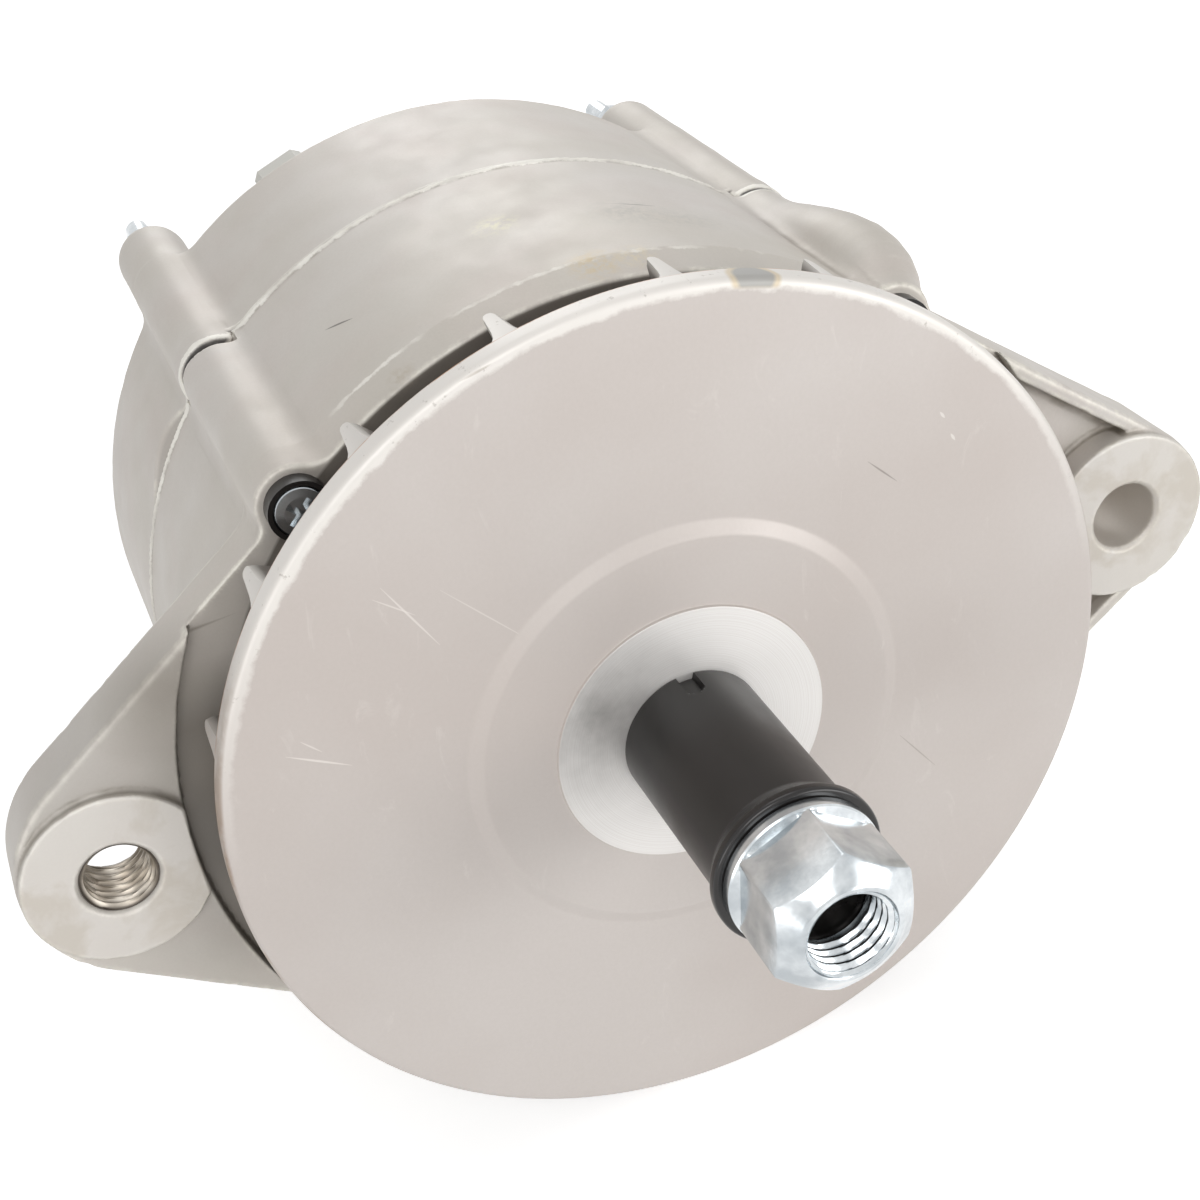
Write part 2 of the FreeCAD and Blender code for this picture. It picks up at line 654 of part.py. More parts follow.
def tube_seam_cutters():
    """Room in the front tubes for the rear tubes' front ends, outside the round wall."""
    wall = rod(SHELL_RADIUS + TUBE_SEAM_GAP, TUBE_SEAM_Y - 1, SEAM_Y + 2)
    radius = TUBE_RADIUS + LIP_RADIAL + TUBE_SEAM_GAP
    return [
        rod(radius, TUBE_SEAM_Y - TUBE_SEAM_GAP, SEAM_Y + 1, polar(BOLT_CIRCLE_RADIUS, angle)).cut(wall)
        for angle in BOLT_ANGLES
    ]


def rear_tube_noses():
    """Front ends of the rear tubes, which reach past the seam over the front housing."""
    wall = rod(SHELL_RADIUS + TUBE_SEAM_GAP, TUBE_SEAM_Y - 1, SEAM_Y + 2)
    radius = TUBE_RADIUS + LIP_RADIAL
    return [
        rod(radius, TUBE_SEAM_Y, SEAM_Y + 1, polar(BOLT_CIRCLE_RADIUS, angle)).cut(wall)
        for angle in BOLT_ANGLES
    ]


def rear_edge_bevel():
    """Ring cutter that breaks the rear edge of the wall but spares the tubes."""
    cutter = turned([
        (SHELL_REAR_RADIUS - REAR_EDGE_ROUND, REAR_FACE_Y + 0.5),
        (SHELL_REAR_RADIUS - REAR_EDGE_ROUND, REAR_FACE_Y),
        (SHELL_REAR_RADIUS + 0.5, REAR_EDGE_Y - REAR_EDGE_ROUND),
        (SHELL_REAR_RADIUS + 12, REAR_EDGE_Y - REAR_EDGE_ROUND),
        (SHELL_REAR_RADIUS + 12, REAR_FACE_Y + 0.5),
    ])
    spared = [
        rod(TUBE_RADIUS + TUBE_FILLET, REAR_EDGE_Y - 10, REAR_FACE_Y + 5, polar(BOLT_CIRCLE_RADIUS, angle))
        for angle in BOLT_ANGLES
    ]
    return cutter.cut(spared)


def rear_housing():
    body = shell_prism(SHELL_REAR_RADIUS, TUBE_RADIUS, SEAM_Y, REAR_FACE_Y).cut(rear_edge_bevel())
    tubes = [rear_tube(angle) for angle in BOLT_ANGLES]
    hub = rod(REAR_HUB_RADIUS, REAR_HUB_FRONT_Y, REAR_HUB_BACK_Y)
    narrow = SHELL_INNER_RADIUS - STATOR_SHOULDER
    hollow = turned([
        (0, SEAM_Y - 1),
        (SHELL_INNER_RADIUS, SEAM_Y - 1),
        (SHELL_INNER_RADIUS, STATOR_BACK_Y),
        (narrow, STATOR_BACK_Y),
        (narrow, REAR_PLATE_FRONT_Y),
        (0, REAR_PLATE_FRONT_Y),
    ])
    stator_room = rod(SHELL_INNER_RADIUS, SEAM_Y - 1, STATOR_BACK_Y)
    tubes = [tube.cut(stator_room) for tube in tubes]
    body = body.cut(hollow).fuse([hub] + tubes + rear_tube_noses())
    bearing_room = rod(REAR_BEARING_OUTER, REAR_HUB_FRONT_Y - 1, REAR_BEARING_BACK_Y)
    opening = rod(REAR_LIP_OPENING, REAR_BEARING_BACK_Y - 1, REAR_HUB_BACK_Y + 1)
    windows = window_cutter(
        REAR_HUB_RADIUS + 4,
        PLATE_OUTER_RADIUS,
        WINDOW_SPOKE * 1.4,
        REAR_PLATE_FRONT_Y - 1,
        REAR_FACE_Y + 1,
        BOLT_FIRST_ANGLE,
        REAR_WINDOW_COUNT,
    )
    plate_holes = [
        rod(PLATE_SCREW_RADIUS, REAR_FACE_Y - PLATE_SCREW_DEPTH, REAR_FACE_Y + 1, centre)
        for centre in standoff_centres()
    ]
    cover_holes = [
        rod(COVER_SCREW_RADIUS, REAR_FACE_Y - COVER_SCREW_DEPTH, REAR_FACE_Y + 1, centre)
        for centre in cover_screw_centres()
    ]
    holes = bolt_holes(TUBE_SEAM_Y - 1, TUBE_END_Y + 1, BOLT_RADIUS + BOLT_CLEARANCE)
    pads = [rod(PLATE_SCREW_HEAD + 3, REAR_PLATE_FRONT_Y, REAR_FACE_Y, centre) for centre in standoff_centres()]
    body = body.cut(windows).fuse(pads)
    return body.cut([bearing_room, opening, notch_cutter()] + plate_holes + cover_holes + holes)


def fan_disc():
    plateau_y = FAN_HUB_STEP
    return turned([
        (SHAFT_SEAT_RADIUS, 0),
        (FAN_HUB_RADIUS, 0),
        (FAN_HUB_RADIUS, plateau_y),
        (FAN_PLATEAU_RADIUS - FAN_PLATEAU_SLOPE, plateau_y),
        (FAN_PLATEAU_RADIUS - FAN_PLATEAU_SLOPE * 0.55, plateau_y + 0.25),
        (FAN_PLATEAU_RADIUS, FAN_FACE_Y),
        (FAN_RADIUS - FAN_EDGE_ROUND, FAN_FACE_Y),
        (FAN_RADIUS - FAN_EDGE_ROUND * 0.35, FAN_FACE_Y + FAN_EDGE_ROUND * 0.2),
        (FAN_RADIUS, FAN_FACE_Y + FAN_EDGE_ROUND * 0.7),
        (FAN_RADIUS, FAN_BACK_Y),
        (FAN_HUB_BACK_RADIUS + 6, FAN_BACK_Y),
        (FAN_HUB_BACK_RADIUS, FAN_BACK_Y + 6),
        (FAN_HUB_BACK_RADIUS, FAN_HUB_BACK_Y),
        (SHAFT_SEAT_RADIUS, FAN_HUB_BACK_Y),
    ])


def fan_blade():
    """Skewed wedge blade on the back of the disc, thick at its root."""
    length = FAN_RADIUS + 4 - BLADE_INNER_RADIUS
    root = BLADE_ROOT_WIDTH / 2
    tip = BLADE_TIP_WIDTH / 2
    start = Vector(BLADE_INNER_RADIUS, FAN_BACK_Y - 0.5, 0)
    profile = Part.makePolygon([
        start + Vector(0, 0, -root),
        start + Vector(0, 0, root),
        start + Vector(0, BLADE_TIP_Y - FAN_BACK_Y + 0.5, tip),
        start + Vector(0, BLADE_TIP_Y - FAN_BACK_Y + 0.5, -tip),
        start + Vector(0, 0, -root),
    ])
    blade = Part.Face(profile).extrude(Vector(length, 0, 0))
    blade.rotate(Vector(FAN_RADIUS, 0, 0), AXIS, -BLADE_SKEW)
    return blade


def fan():
    blank = fan_blade()
    blades = [spun(blank, BLADE_FIRST_ANGLE + 360.0 * k / BLADE_COUNT) for k in range(BLADE_COUNT)]
    rim = rod(FAN_RADIUS, FAN_BACK_Y - 1, BLADE_TIP_Y + 1)
    blades = [blade.common(rim) for blade in blades]
    solid = fan_disc().fuse(blades)
    return solid.cut(key_solid(0.0))


def key_solid(clearance):
    """Round-ended shaft key under the fan hub."""
    low = SHAFT_SEAT_RADIUS - KEY_SHAFT_DEPTH
    high = low + KEY_HEIGHT
    half = KEY_WIDTH / 2 + clearance
    y0 = FAN_HUB_BACK_Y / 2 - KEY_LENGTH / 2
    y1 = y0 + KEY_LENGTH
    middle = box(-half, half, y0 + half, y1 - half, low, high)
    ends = [
        Part.makeCylinder(half, high - low, Vector(0, y, low), Vector(0, 0, 1))
        for y in (y0 + half, y1 - half)
    ]
    return fused([middle] + ends)


def shaft():
    body = turned([
        (0, SHAFT_FRONT_Y),
        (THREAD_RADIUS - 1.2, SHAFT_FRONT_Y),
        (THREAD_RADIUS, SHAFT_FRONT_Y + 1.2),
        (THREAD_RADIUS, SLEEVE_FRONT_Y + 3),
        (SHAFT_SEAT_RADIUS, SLEEVE_FRONT_Y + 3),
        (SHAFT_SEAT_RADIUS, FAN_HUB_BACK_Y),
        (FRONT_BEARING_BORE, FAN_HUB_BACK_Y),
        (FRONT_BEARING_BORE, FRONT_BEARING_BACK_Y),
        (SHAFT_CORE_RADIUS, FRONT_BEARING_BACK_Y),
        (SHAFT_CORE_RADIUS, POLE_BACK_Y + 2),
        (SHAFT_STEP_RADIUS, POLE_BACK_Y + 2),
        (SHAFT_STEP_RADIUS, REAR_BEARING_Y),
        (REAR_BEARING_BORE, REAR_BEARING_Y),
        (REAR_BEARING_BORE, SLIP_BACK_Y + 1),
        (0, SLIP_BACK_Y + 1),
    ])
    return body.cut(key_solid(0.0))


def spacer_sleeve():
    body = turned([
        (SHAFT_SEAT_RADIUS, SLEEVE_FRONT_Y + 3),
        (THREAD_RADIUS, SLEEVE_FRONT_Y + 3),
        (THREAD_RADIUS, SLEEVE_FRONT_Y),
        (SLEEVE_RADIUS - 0.5, SLEEVE_FRONT_Y),
        (SLEEVE_RADIUS, SLEEVE_FRONT_Y + 0.5),
        (SLEEVE_RADIUS, -0.3),
        (SLEEVE_RADIUS - 0.3, 0),
        (SHAFT_SEAT_RADIUS, 0),
    ])
    half = SLEEVE_SLOT_WIDTH / 2
    slot = box(-half, half, -SLEEVE_SLOT_LENGTH, 1, SLEEVE_RADIUS - SLEEVE_SLOT_DEPTH, SLEEVE_RADIUS + 2)
    return body.cut(slot)


def seat_washer():
    y0 = SEAT_WASHER_FRONT_Y
    y1 = SLEEVE_FRONT_Y
    edge = 0.5
    return turned([
        (THREAD_RADIUS, y0),
        (SEAT_WASHER_RADIUS - edge, y0),
        (SEAT_WASHER_RADIUS, y0 + edge),
        (SEAT_WASHER_RADIUS, y1 - edge),
        (SEAT_WASHER_RADIUS - edge, y1),
        (THREAD_RADIUS, y1),
    ])


def shaft_nut():
    flange = turned([
        (0, NUT_FLANGE_FRONT_Y - 0.2),
        (NUT_FLANGE_RADIUS - 1.3, NUT_FLANGE_FRONT_Y - 0.2),
        (NUT_FLANGE_RADIUS, NUT_FLANGE_FRONT_Y + 0.8),
        (NUT_FLANGE_RADIUS, SEAT_WASHER_FRONT_Y),
        (0, SEAT_WASHER_FRONT_Y),
    ])
    corners = [polar(NUT_CORNER_RADIUS, NUT_CORNER_ANGLE + 60 * k, NUT_FRONT_Y) for k in range(6)]
    prism = Part.Face(Part.makePolygon(corners + corners[:1])).extrude(
        Vector(0, NUT_FLANGE_FRONT_Y - NUT_FRONT_Y, 0)
    )
    cone = turned([
        (0, NUT_FRONT_Y),
        (NUT_FRONT_RADIUS, NUT_FRONT_Y),
        (NUT_CORNER_RADIUS + 0.01, NUT_HEX_FRONT_Y),
        (NUT_CORNER_RADIUS + 0.01, NUT_FLANGE_FRONT_Y + 1),
        (0, NUT_FLANGE_FRONT_Y + 1),
    ])
    bore = rod(THREAD_RADIUS, NUT_FRONT_Y - 1, SEAT_WASHER_FRONT_Y + 1)
    mouth = turned([
        (0, NUT_FRONT_Y - 0.5),
        (NUT_MOUTH_RADIUS + 0.4, NUT_FRONT_Y - 0.5),
        (THREAD_RADIUS - 0.1, NUT_FRONT_Y + NUT_MOUTH_DEPTH),
        (0, NUT_FRONT_Y + NUT_MOUTH_DEPTH),
    ])
    return prism.common(cone).fuse(flange).cut([bore, mouth])


def spacer_ring():
    return ring(SPACER_RING_RADIUS, FRONT_BEARING_BORE, FAN_HUB_BACK_Y, FRONT_BEARING_Y)


def ball_pocket(ball, pitch, centre):
    """Round pocket drilled through the cage towards the shaft axis."""
    inward = Vector(-centre.x, 0, -centre.z)
    start = centre - inward * (CAGE_THICKNESS * 2 / pitch)
    return Part.makeCylinder(ball + BALL_GAP, CAGE_THICKNESS * 4, start, inward)


def bearing(bore, outer, width, ball, count, y0):
    """Races, balls, cage and seals of one deep-groove bearing."""
    pitch = (bore + outer) / 2
    middle = y0 + width / 2
    groove = Part.makeTorus(pitch, ball + BALL_GAP, Vector(0, middle, 0), AXIS)
    outer_race = ring(outer, outer - RACE_SHARE_LAND, y0, y0 + width).cut(groove)
    inner_race = ring(bore + RACE_SHARE_LAND, bore, y0, y0 + width).cut(groove)
    centres = [polar(pitch, 360.0 * k / count, middle) for k in range(count)]
    balls = Part.makeCompound([Part.makeSphere(ball, centre) for centre in centres])
    half = ball * CAGE_WIDTH_SHARE
    cage = ring(pitch + CAGE_THICKNESS / 2, pitch - CAGE_THICKNESS / 2, middle - half, middle + half)
    cage = cage.cut([ball_pocket(ball, pitch, centre) for centre in centres])
    seal_inner = bore + RACE_SHARE_LAND + SEAL_GAP
    seal_outer = outer - RACE_SHARE_LAND
    front_seal = ring(seal_outer, seal_inner, y0 + SEAL_INSET, y0 + SEAL_INSET + SEAL_THICKNESS)
    back_y = y0 + width - SEAL_INSET
    back_seal = ring(seal_outer, seal_inner, back_y - SEAL_THICKNESS, back_y)
    seals = Part.makeCompound([front_seal, back_seal])
    return outer_race, inner_race, balls, cage, seals


def retainer_screw_centres():
    return [
        polar(RETAINER_SCREW_CIRCLE_RADIUS, 45 + 360.0 * k / RETAINER_SCREW_COUNT)
        for k in range(RETAINER_SCREW_COUNT)
    ]


def bearing_retainer():
    y0 = FRONT_BEARING_BACK_Y
    plate = ring(RETAINER_OUTER_RADIUS, RETAINER_INNER_RADIUS, y0, y0 + RETAINER_THICKNESS)
    holes = [
        rod(RETAINER_SCREW_RADIUS, y0 - 1, y0 + RETAINER_THICKNESS + 1, centre)
        for centre in retainer_screw_centres()
    ]
    return plate.cut(holes)


def screw(shank, head, head_height, y_seat, depth, centre):
    """Cross-recess screw with its head towards the rear."""
    top = y_seat + head_height
    body = turned([
        (0, y_seat - depth),
        (shank, y_seat - depth),
        (shank, y_seat),
        (head, y_seat),
        (head, top - head_height * 0.35),
        (head * 0.8, top),
        (0, top),
    ])
    arm = head * 0.55
    slot = head * 0.13
    low = top - head_height * 0.5
    high = top + 1
    cross = box(-arm, arm, low, high, -slot, slot).fuse(box(-slot, slot, low, high, -arm, arm))
    body = body.cut(cross)
    body.translate(centre)
    return body


def retainer_screws():
    seat = FRONT_BEARING_BACK_Y + RETAINER_THICKNESS
    depth = RETAINER_THICKNESS + RETAINER_SCREW_DEPTH
    return Part.makeCompound([
        screw(RETAINER_SCREW_RADIUS, RETAINER_HEAD_RADIUS, RETAINER_HEAD_HEIGHT, seat, depth, centre)
        for centre in retainer_screw_centres()
    ])


def claw_pole(y_outer, direction, first_angle):
    """One claw pole: a disc with tapered fingers that reach over the coil."""
    y_inner = y_outer + direction * POLE_DISC
    low, high = sorted((y_outer, y_inner))
    disc = ring(POLE_DISC_RADIUS, SHAFT_CORE_RADIUS, low, high)
    y_tip = y_inner + direction * (CORE_LENGTH + POLE_DISC - FINGER_END_GAP)
    finger = claw_finger(y_outer, y_inner, y_tip, direction)
    fingers = [spun(finger, first_angle + 360.0 * k / POLE_PAIRS) for k in range(POLE_PAIRS)]
    return disc.fuse(fingers)


def claw_finger(y_outer, y_inner, y_tip, direction):
    root = finger_section(y_inner, FINGER_ROOT_INNER, FINGER_ROOT_WIDTH)
    tip = finger_section(y_tip, FINGER_TIP_INNER, FINGER_TIP_WIDTH)
    reach = Part.makeLoft([root, tip], True, True)
    foot_face = Part.Face(finger_section(y_inner, FINGER_ROOT_INNER - FINGER_FOOT_DEPTH, FINGER_ROOT_WIDTH))
    foot = foot_face.extrude(Vector(0, y_outer - y_inner, 0))
    low, high = sorted((y_outer, y_tip))
    skin = rod(ROTOR_RADIUS, low, high)
    return reach.fuse(foot).common(skin)


def finger_section(y, inner, width):
    half = width / 2
    outer = ROTOR_RADIUS + FINGER_SKIN
    corners = [
        Vector(inner, y, -half),
        Vector(outer, y, -half),
        Vector(outer, y, half),
        Vector(inner, y, half),
        Vector(inner, y, -half),
    ]
    return Part.makePolygon(corners)


def field_core():
    return ring(CORE_RADIUS, SHAFT_CORE_RADIUS, CORE_FRONT_Y, CORE_BACK_Y)


def field_coil():
    """Coil on its bobbin, with shallow turns showing at its rim."""
    y0 = CORE_FRONT_Y
    y1 = CORE_BACK_Y
    cheek = 2.0
    coil = COIL_RADIUS - 2.0
    bobbin = turned([
        (CORE_RADIUS, y0),
        (COIL_RADIUS - COIL_GAP, y0),
        (COIL_RADIUS - COIL_GAP, y0 + cheek),
        (coil, y0 + cheek),
        (coil, y1 - cheek),
        (COIL_RADIUS - COIL_GAP, y1 - cheek),
        (COIL_RADIUS - COIL_GAP, y1),
        (CORE_RADIUS, y1),
    ])
    return bobbin


def stator_core():
    core = ring(SHELL_INNER_RADIUS, STATOR_INNER_RADIUS, STATOR_FRONT_Y, STATOR_BACK_Y)
    half = SLOT_WIDTH / 2
    mouth = SLOT_MOUTH / 2
    floor = STATOR_INNER_RADIUS + SLOT_DEPTH
    y0 = STATOR_FRONT_Y - 1
    y1 = STATOR_BACK_Y + 1
    slot = box(STATOR_INNER_RADIUS + SLOT_LIP, floor, y0, y1, -half, half)
    slot = slot.fuse(box(STATOR_INNER_RADIUS - 1, floor, y0, y1, -mouth, mouth))
    return core.cut([spun(slot, 360.0 * k / STATOR_SLOTS) for k in range(STATOR_SLOTS)])


def stator_winding():
    """Slot bars joined by rounded end turns at both ends of the core."""
    half = SLOT_WIDTH / 2 - WINDING_GAP / 2
    inner = STATOR_INNER_RADIUS + SLOT_LIP + WINDING_GAP / 2
    outer = STATOR_INNER_RADIUS + SLOT_DEPTH
    y0 = STATOR_FRONT_Y - WINDING_OVERHANG / 2
    y1 = STATOR_BACK_Y + WINDING_OVERHANG / 2
    bar = box(inner, outer, y0, y1, -half, half)
    bars = [spun(bar, 360.0 * k / STATOR_SLOTS) for k in range(STATOR_SLOTS)]
    front = end_turn(inner, outer, STATOR_FRONT_Y - WINDING_GAP, STATOR_FRONT_Y - WINDING_OVERHANG)
    back = end_turn(inner, outer, STATOR_BACK_Y + WINDING_GAP, STATOR_BACK_Y + WINDING_OVERHANG)
    return front.fuse([back] + bars)


def end_turn(inner, outer, y_near, y_far):
    edge = (outer - inner) * 0.22
    bend = edge if y_far > y_near else -edge
    return turned([
        (inner + 0.2, y_near),
        (inner + 0.2, y_far - bend),
        (inner + edge, y_far),
        (outer - edge, y_far),
        (outer - 0.2, y_far - bend),
        (outer - 0.2, y_near),
    ])


def slip_core():
    body = ring(SLIP_CORE_RADIUS, REAR_BEARING_BORE, SLIP_FRONT_Y, SLIP_BACK_Y)
    return body


def slip_rings():
    return Part.makeCompound([
        ring(SLIP_RING_RADIUS, SLIP_CORE_RADIUS, start, start + SLIP_RING_WIDTH)
        for start in SLIP_RING_STARTS
    ])


def brush_box(start, clearance):
    """Block of one brush above its slip ring, with an optional guide clearance."""
    middle = start + SLIP_RING_WIDTH / 2
    half_y = BRUSH_Y_WIDTH / 2 + clearance
    half_x = BRUSH_X_WIDTH / 2 + clearance
    low = SLIP_RING_RADIUS - 1.0
    return box(-half_x, half_x, middle - half_y, middle + half_y, low, SLIP_RING_RADIUS + BRUSH_LENGTH)


def brushes():
    curve = rod(SLIP_RING_RADIUS + BRUSH_GAP, SLIP_FRONT_Y - 5, SLIP_BACK_Y + 5)
    return Part.makeCompound([brush_box(start, 0.0).cut(curve) for start in SLIP_RING_STARTS])


def brush_springs():
    """One spring behind each brush, drawn as a sleeve of its coil's size."""
    springs = []
    base = SLIP_RING_RADIUS + BRUSH_LENGTH
    for start in SLIP_RING_STARTS:
        foot = Vector(0, start + SLIP_RING_WIDTH / 2, base)
        sleeve = Part.makeCylinder(SPRING_OUTER_RADIUS, SPRING_LENGTH, foot)
        springs.append(sleeve.cut(Part.makeCylinder(SPRING_INNER_RADIUS, SPRING_LENGTH, foot)))
    return Part.makeCompound(springs)


def brush_holder():
    """Moulded holder with one guide shaft per brush."""
    low = SLIP_RING_RADIUS + HOLDER_CLEARANCE
    high = SLIP_RING_RADIUS + BRUSH_LENGTH + SPRING_LENGTH + HOLDER_WALL
    half = BRUSH_X_WIDTH / 2 + HOLDER_WALL
    block = box(-half, half, REAR_HUB_BACK_Y, SLIP_BACK_Y, low, high)
    flange = box(-REGULATOR_WIDTH / 2, REGULATOR_WIDTH / 2, REAR_FACE_Y, REAR_FACE_Y + 4, high - 14, high)
    flange = flange.cut(rod(REAR_HUB_RADIUS, REAR_FACE_Y - 1, REAR_HUB_BACK_Y))
    guides = []
    for start in SLIP_RING_STARTS:
        middle = start + SLIP_RING_WIDTH / 2
        half_y = BRUSH_Y_WIDTH / 2 + BRUSH_GUIDE_GAP
        half_x = BRUSH_X_WIDTH / 2 + BRUSH_GUIDE_GAP
        guides.append(box(-half_x, half_x, middle - half_y, middle + half_y, low - 1, high - HOLDER_WALL))
    return fused([block, flange]).cut(guides)


def regulator():
    """Voltage regulator case on top of the brush holder, with cooling ribs."""
    low = SLIP_RING_RADIUS + BRUSH_LENGTH + SPRING_LENGTH + HOLDER_WALL
    half = REGULATOR_WIDTH / 2
    y0 = REAR_FACE_Y
    y1 = SLIP_BACK_Y
    case = box(-half, half, y0, y1, low, low + REGULATOR_DEPTH)
    ribs = []
    count = 9
    step = REGULATOR_WIDTH / count
    for k in range(count - 1):
        x = -half + step * (k + 1)
        ribs.append(box(x - 1.2, x + 1.2, y0 + 2, y1 - 2, low + REGULATOR_DEPTH - 2.5, low + REGULATOR_DEPTH + 1))
    return case.cut(ribs)


def plate_sector(y0, y1):
    """Crescent plate that leaves the top free for the regulator."""
    body = ring(PLATE_OUTER_RADIUS, PLATE_INNER_RADIUS, y0, y1)
    reach = PLATE_OUTER_RADIUS * 3
    start = polar(reach, PLATE_CENTRE_ANGLE + PLATE_SPREAD, y0 - 1)
    end = polar(reach, PLATE_CENTRE_ANGLE - PLATE_SPREAD, y0 - 1)
    top = Vector(0, y0 - 1, reach)
    wedge = Part.Face(Part.makePolygon([Vector(0, y0 - 1, 0), start, top, end, Vector(0, y0 - 1, 0)]))
    return body.cut(wedge.extrude(Vector(0, y1 - y0 + 2, 0)))


def spread_angles(count, share, offset=0.0):
    """Even angles across the plates, kept away from their ends."""
    span = PLATE_SPREAD * 2 * share
    return [PLATE_CENTRE_ANGLE - span / 2 + span * (k + 0.5) / count + offset for k in range(count)]


def diode_centres(plate):
    offset = PLATE_SPREAD * 2 * 0.86 / DIODES_PER_PLATE / 4
    if plate == "positive":
        offset = -offset
    return [polar(DIODE_CIRCLE_RADIUS, angle) for angle in spread_angles(DIODES_PER_PLATE, 0.86, offset)]


def standoff_centres():
    return [polar(PLATE_OUTER_RADIUS - STANDOFF_RADIUS, angle) for angle in spread_angles(STANDOFF_COUNT, 0.9)]


def output_centre():
    return polar(PLATE_OUTER_RADIUS - OUTPUT_BASE_RADIUS - 3, OUTPUT_STUD_ANGLE)


def negative_plate():
    y0 = REAR_FACE_Y
    y1 = y0 + PLATE_THICKNESS
    holes = [rod(DIODE_RADIUS, y0 - 1, y1 + 1, centre) for centre in diode_centres("negative")]
    holes += [rod(PLATE_SCREW_RADIUS, y0 - 1, y1 + 1, centre) for centre in standoff_centres()]
    return plate_sector(y0, y1).cut(holes)


def positive_plate():
    y0 = POSITIVE_PLATE_Y
    y1 = y0 + PLATE_THICKNESS
    holes = [rod(DIODE_RADIUS, y0 - 1, y1 + 1, centre) for centre in diode_centres("positive")]
    holes += [rod(PLATE_SCREW_RADIUS, y0 - 1, y1 + 1, centre) for centre in standoff_centres()]
    holes.append(rod(OUTPUT_STUD_RADIUS, y0 - 1, y1 + 1, output_centre()))
    return plate_sector(y0, y1).cut(holes)


def diode(centre, y_base, towards):
    body_y = sorted((y_base, y_base + towards * DIODE_HEIGHT))
    lead_y = sorted((y_base + towards * DIODE_HEIGHT, y_base + towards * (DIODE_HEIGHT + DIODE_LEAD_LENGTH)))
    body = rod(DIODE_RADIUS, body_y[0], body_y[1], centre)
    return body.fuse(rod(DIODE_LEAD_RADIUS, lead_y[0], lead_y[1], centre))


def negative_diodes():
    return Part.makeCompound([diode(centre, REAR_FACE_Y, 1) for centre in diode_centres("negative")])


def positive_diodes():
    base = POSITIVE_PLATE_Y + PLATE_THICKNESS
    return Part.makeCompound([diode(centre, base, -1) for centre in diode_centres("positive")])


def plate_standoffs():
    y0 = REAR_FACE_Y + PLATE_THICKNESS
    return Part.makeCompound([
        ring(STANDOFF_RADIUS, PLATE_SCREW_RADIUS, y0, POSITIVE_PLATE_Y, centre)
        for centre in standoff_centres()
    ])


def plate_screws():
    seat = POSITIVE_PLATE_Y + PLATE_THICKNESS
    depth = seat - REAR_FACE_Y + PLATE_SCREW_DEPTH
    return Part.makeCompound([
        screw(PLATE_SCREW_RADIUS, PLATE_SCREW_HEAD, PLATE_SCREW_HEAD_HEIGHT, seat, depth, centre)
        for centre in standoff_centres()
    ])


def cover_screw_centres():
    return [polar(COVER_SCREW_CIRCLE_RADIUS, 360.0 * k / COVER_TAB_COUNT) for k in range(COVER_TAB_COUNT)]


def rear_cover():
    """Pressed cover with air slots in its back and four fixing tabs."""
    y0 = REAR_FACE_Y
    outer = turned([
        (0, y0),
        (COVER_RADIUS, y0),
        (COVER_RADIUS, COVER_REAR_Y - COVER_ROUND),
        (COVER_RADIUS - COVER_ROUND * 0.3, COVER_REAR_Y - COVER_ROUND * 0.3),
        (COVER_RADIUS - COVER_ROUND, COVER_REAR_Y),
        (0, COVER_REAR_Y),
    ])
    inner_radius = COVER_RADIUS - COVER_WALL
    inner = turned([
        (0, y0 - 1),
        (inner_radius, y0 - 1),
        (inner_radius, COVER_REAR_Y - COVER_ROUND),
        (inner_radius - COVER_ROUND * 0.3, COVER_REAR_Y - COVER_ROUND * 0.3 - COVER_WALL * 0.7),
        (inner_radius - COVER_ROUND, COVER_REAR_Y - COVER_WALL),
        (0, COVER_REAR_Y - COVER_WALL),
    ])
    half = COVER_TAB_WIDTH / 2
    tab = box(COVER_RADIUS - 3, COVER_TAB_RADIUS, y0, y0 + COVER_WALL, -half, half)
    tabs = [spun(tab, 360.0 * k / COVER_TAB_COUNT) for k in range(COVER_TAB_COUNT)]
    body = outer.fuse(tabs).cut(inner)
    slot = box(
        COVER_SLOT_INNER,
        COVER_SLOT_OUTER,
        COVER_REAR_Y - COVER_WALL - 1,
        COVER_REAR_Y + 1,
        -COVER_SLOT_WIDTH / 2,
        COVER_SLOT_WIDTH / 2,
    )
    slots = []
    for k in range(COVER_SLOT_COUNT):
        angle = 360.0 * k / COVER_SLOT_COUNT
        if abs(angle - OUTPUT_STUD_ANGLE) > 18:
            slots.append(spun(slot, angle))
    holes = [
        rod(COVER_SCREW_RADIUS, y0 - 1, y0 + COVER_WALL + 1, centre)
        for centre in cover_screw_centres()
    ]
    neck = rod(OUTPUT_INSULATOR_NECK, COVER_REAR_Y - COVER_WALL - 1, COVER_REAR_Y + 1, output_centre())
    return body.cut(slots + holes + [neck])


def cover_screws():
    seat = REAR_FACE_Y + COVER_WALL
    depth = COVER_WALL + COVER_SCREW_DEPTH
    return Part.makeCompound([
        screw(COVER_SCREW_RADIUS, COVER_SCREW_HEAD, COVER_SCREW_HEAD_HEIGHT, seat, depth, centre)
        for centre in cover_screw_centres()
    ])


def output_stud():
    """Output stud with a hexagonal base that clamps on the positive plate."""
    centre = output_centre()
    seat = POSITIVE_PLATE_Y + PLATE_THICKNESS
    top = COVER_REAR_Y - COVER_WALL - 1.0
    base = rod(OUTPUT_BASE_RADIUS, seat, top, centre)
    shank = rod(OUTPUT_STUD_RADIUS, POSITIVE_PLATE_Y, OUTPUT_STUD_TIP_Y, centre)
    return fused([shank, base])


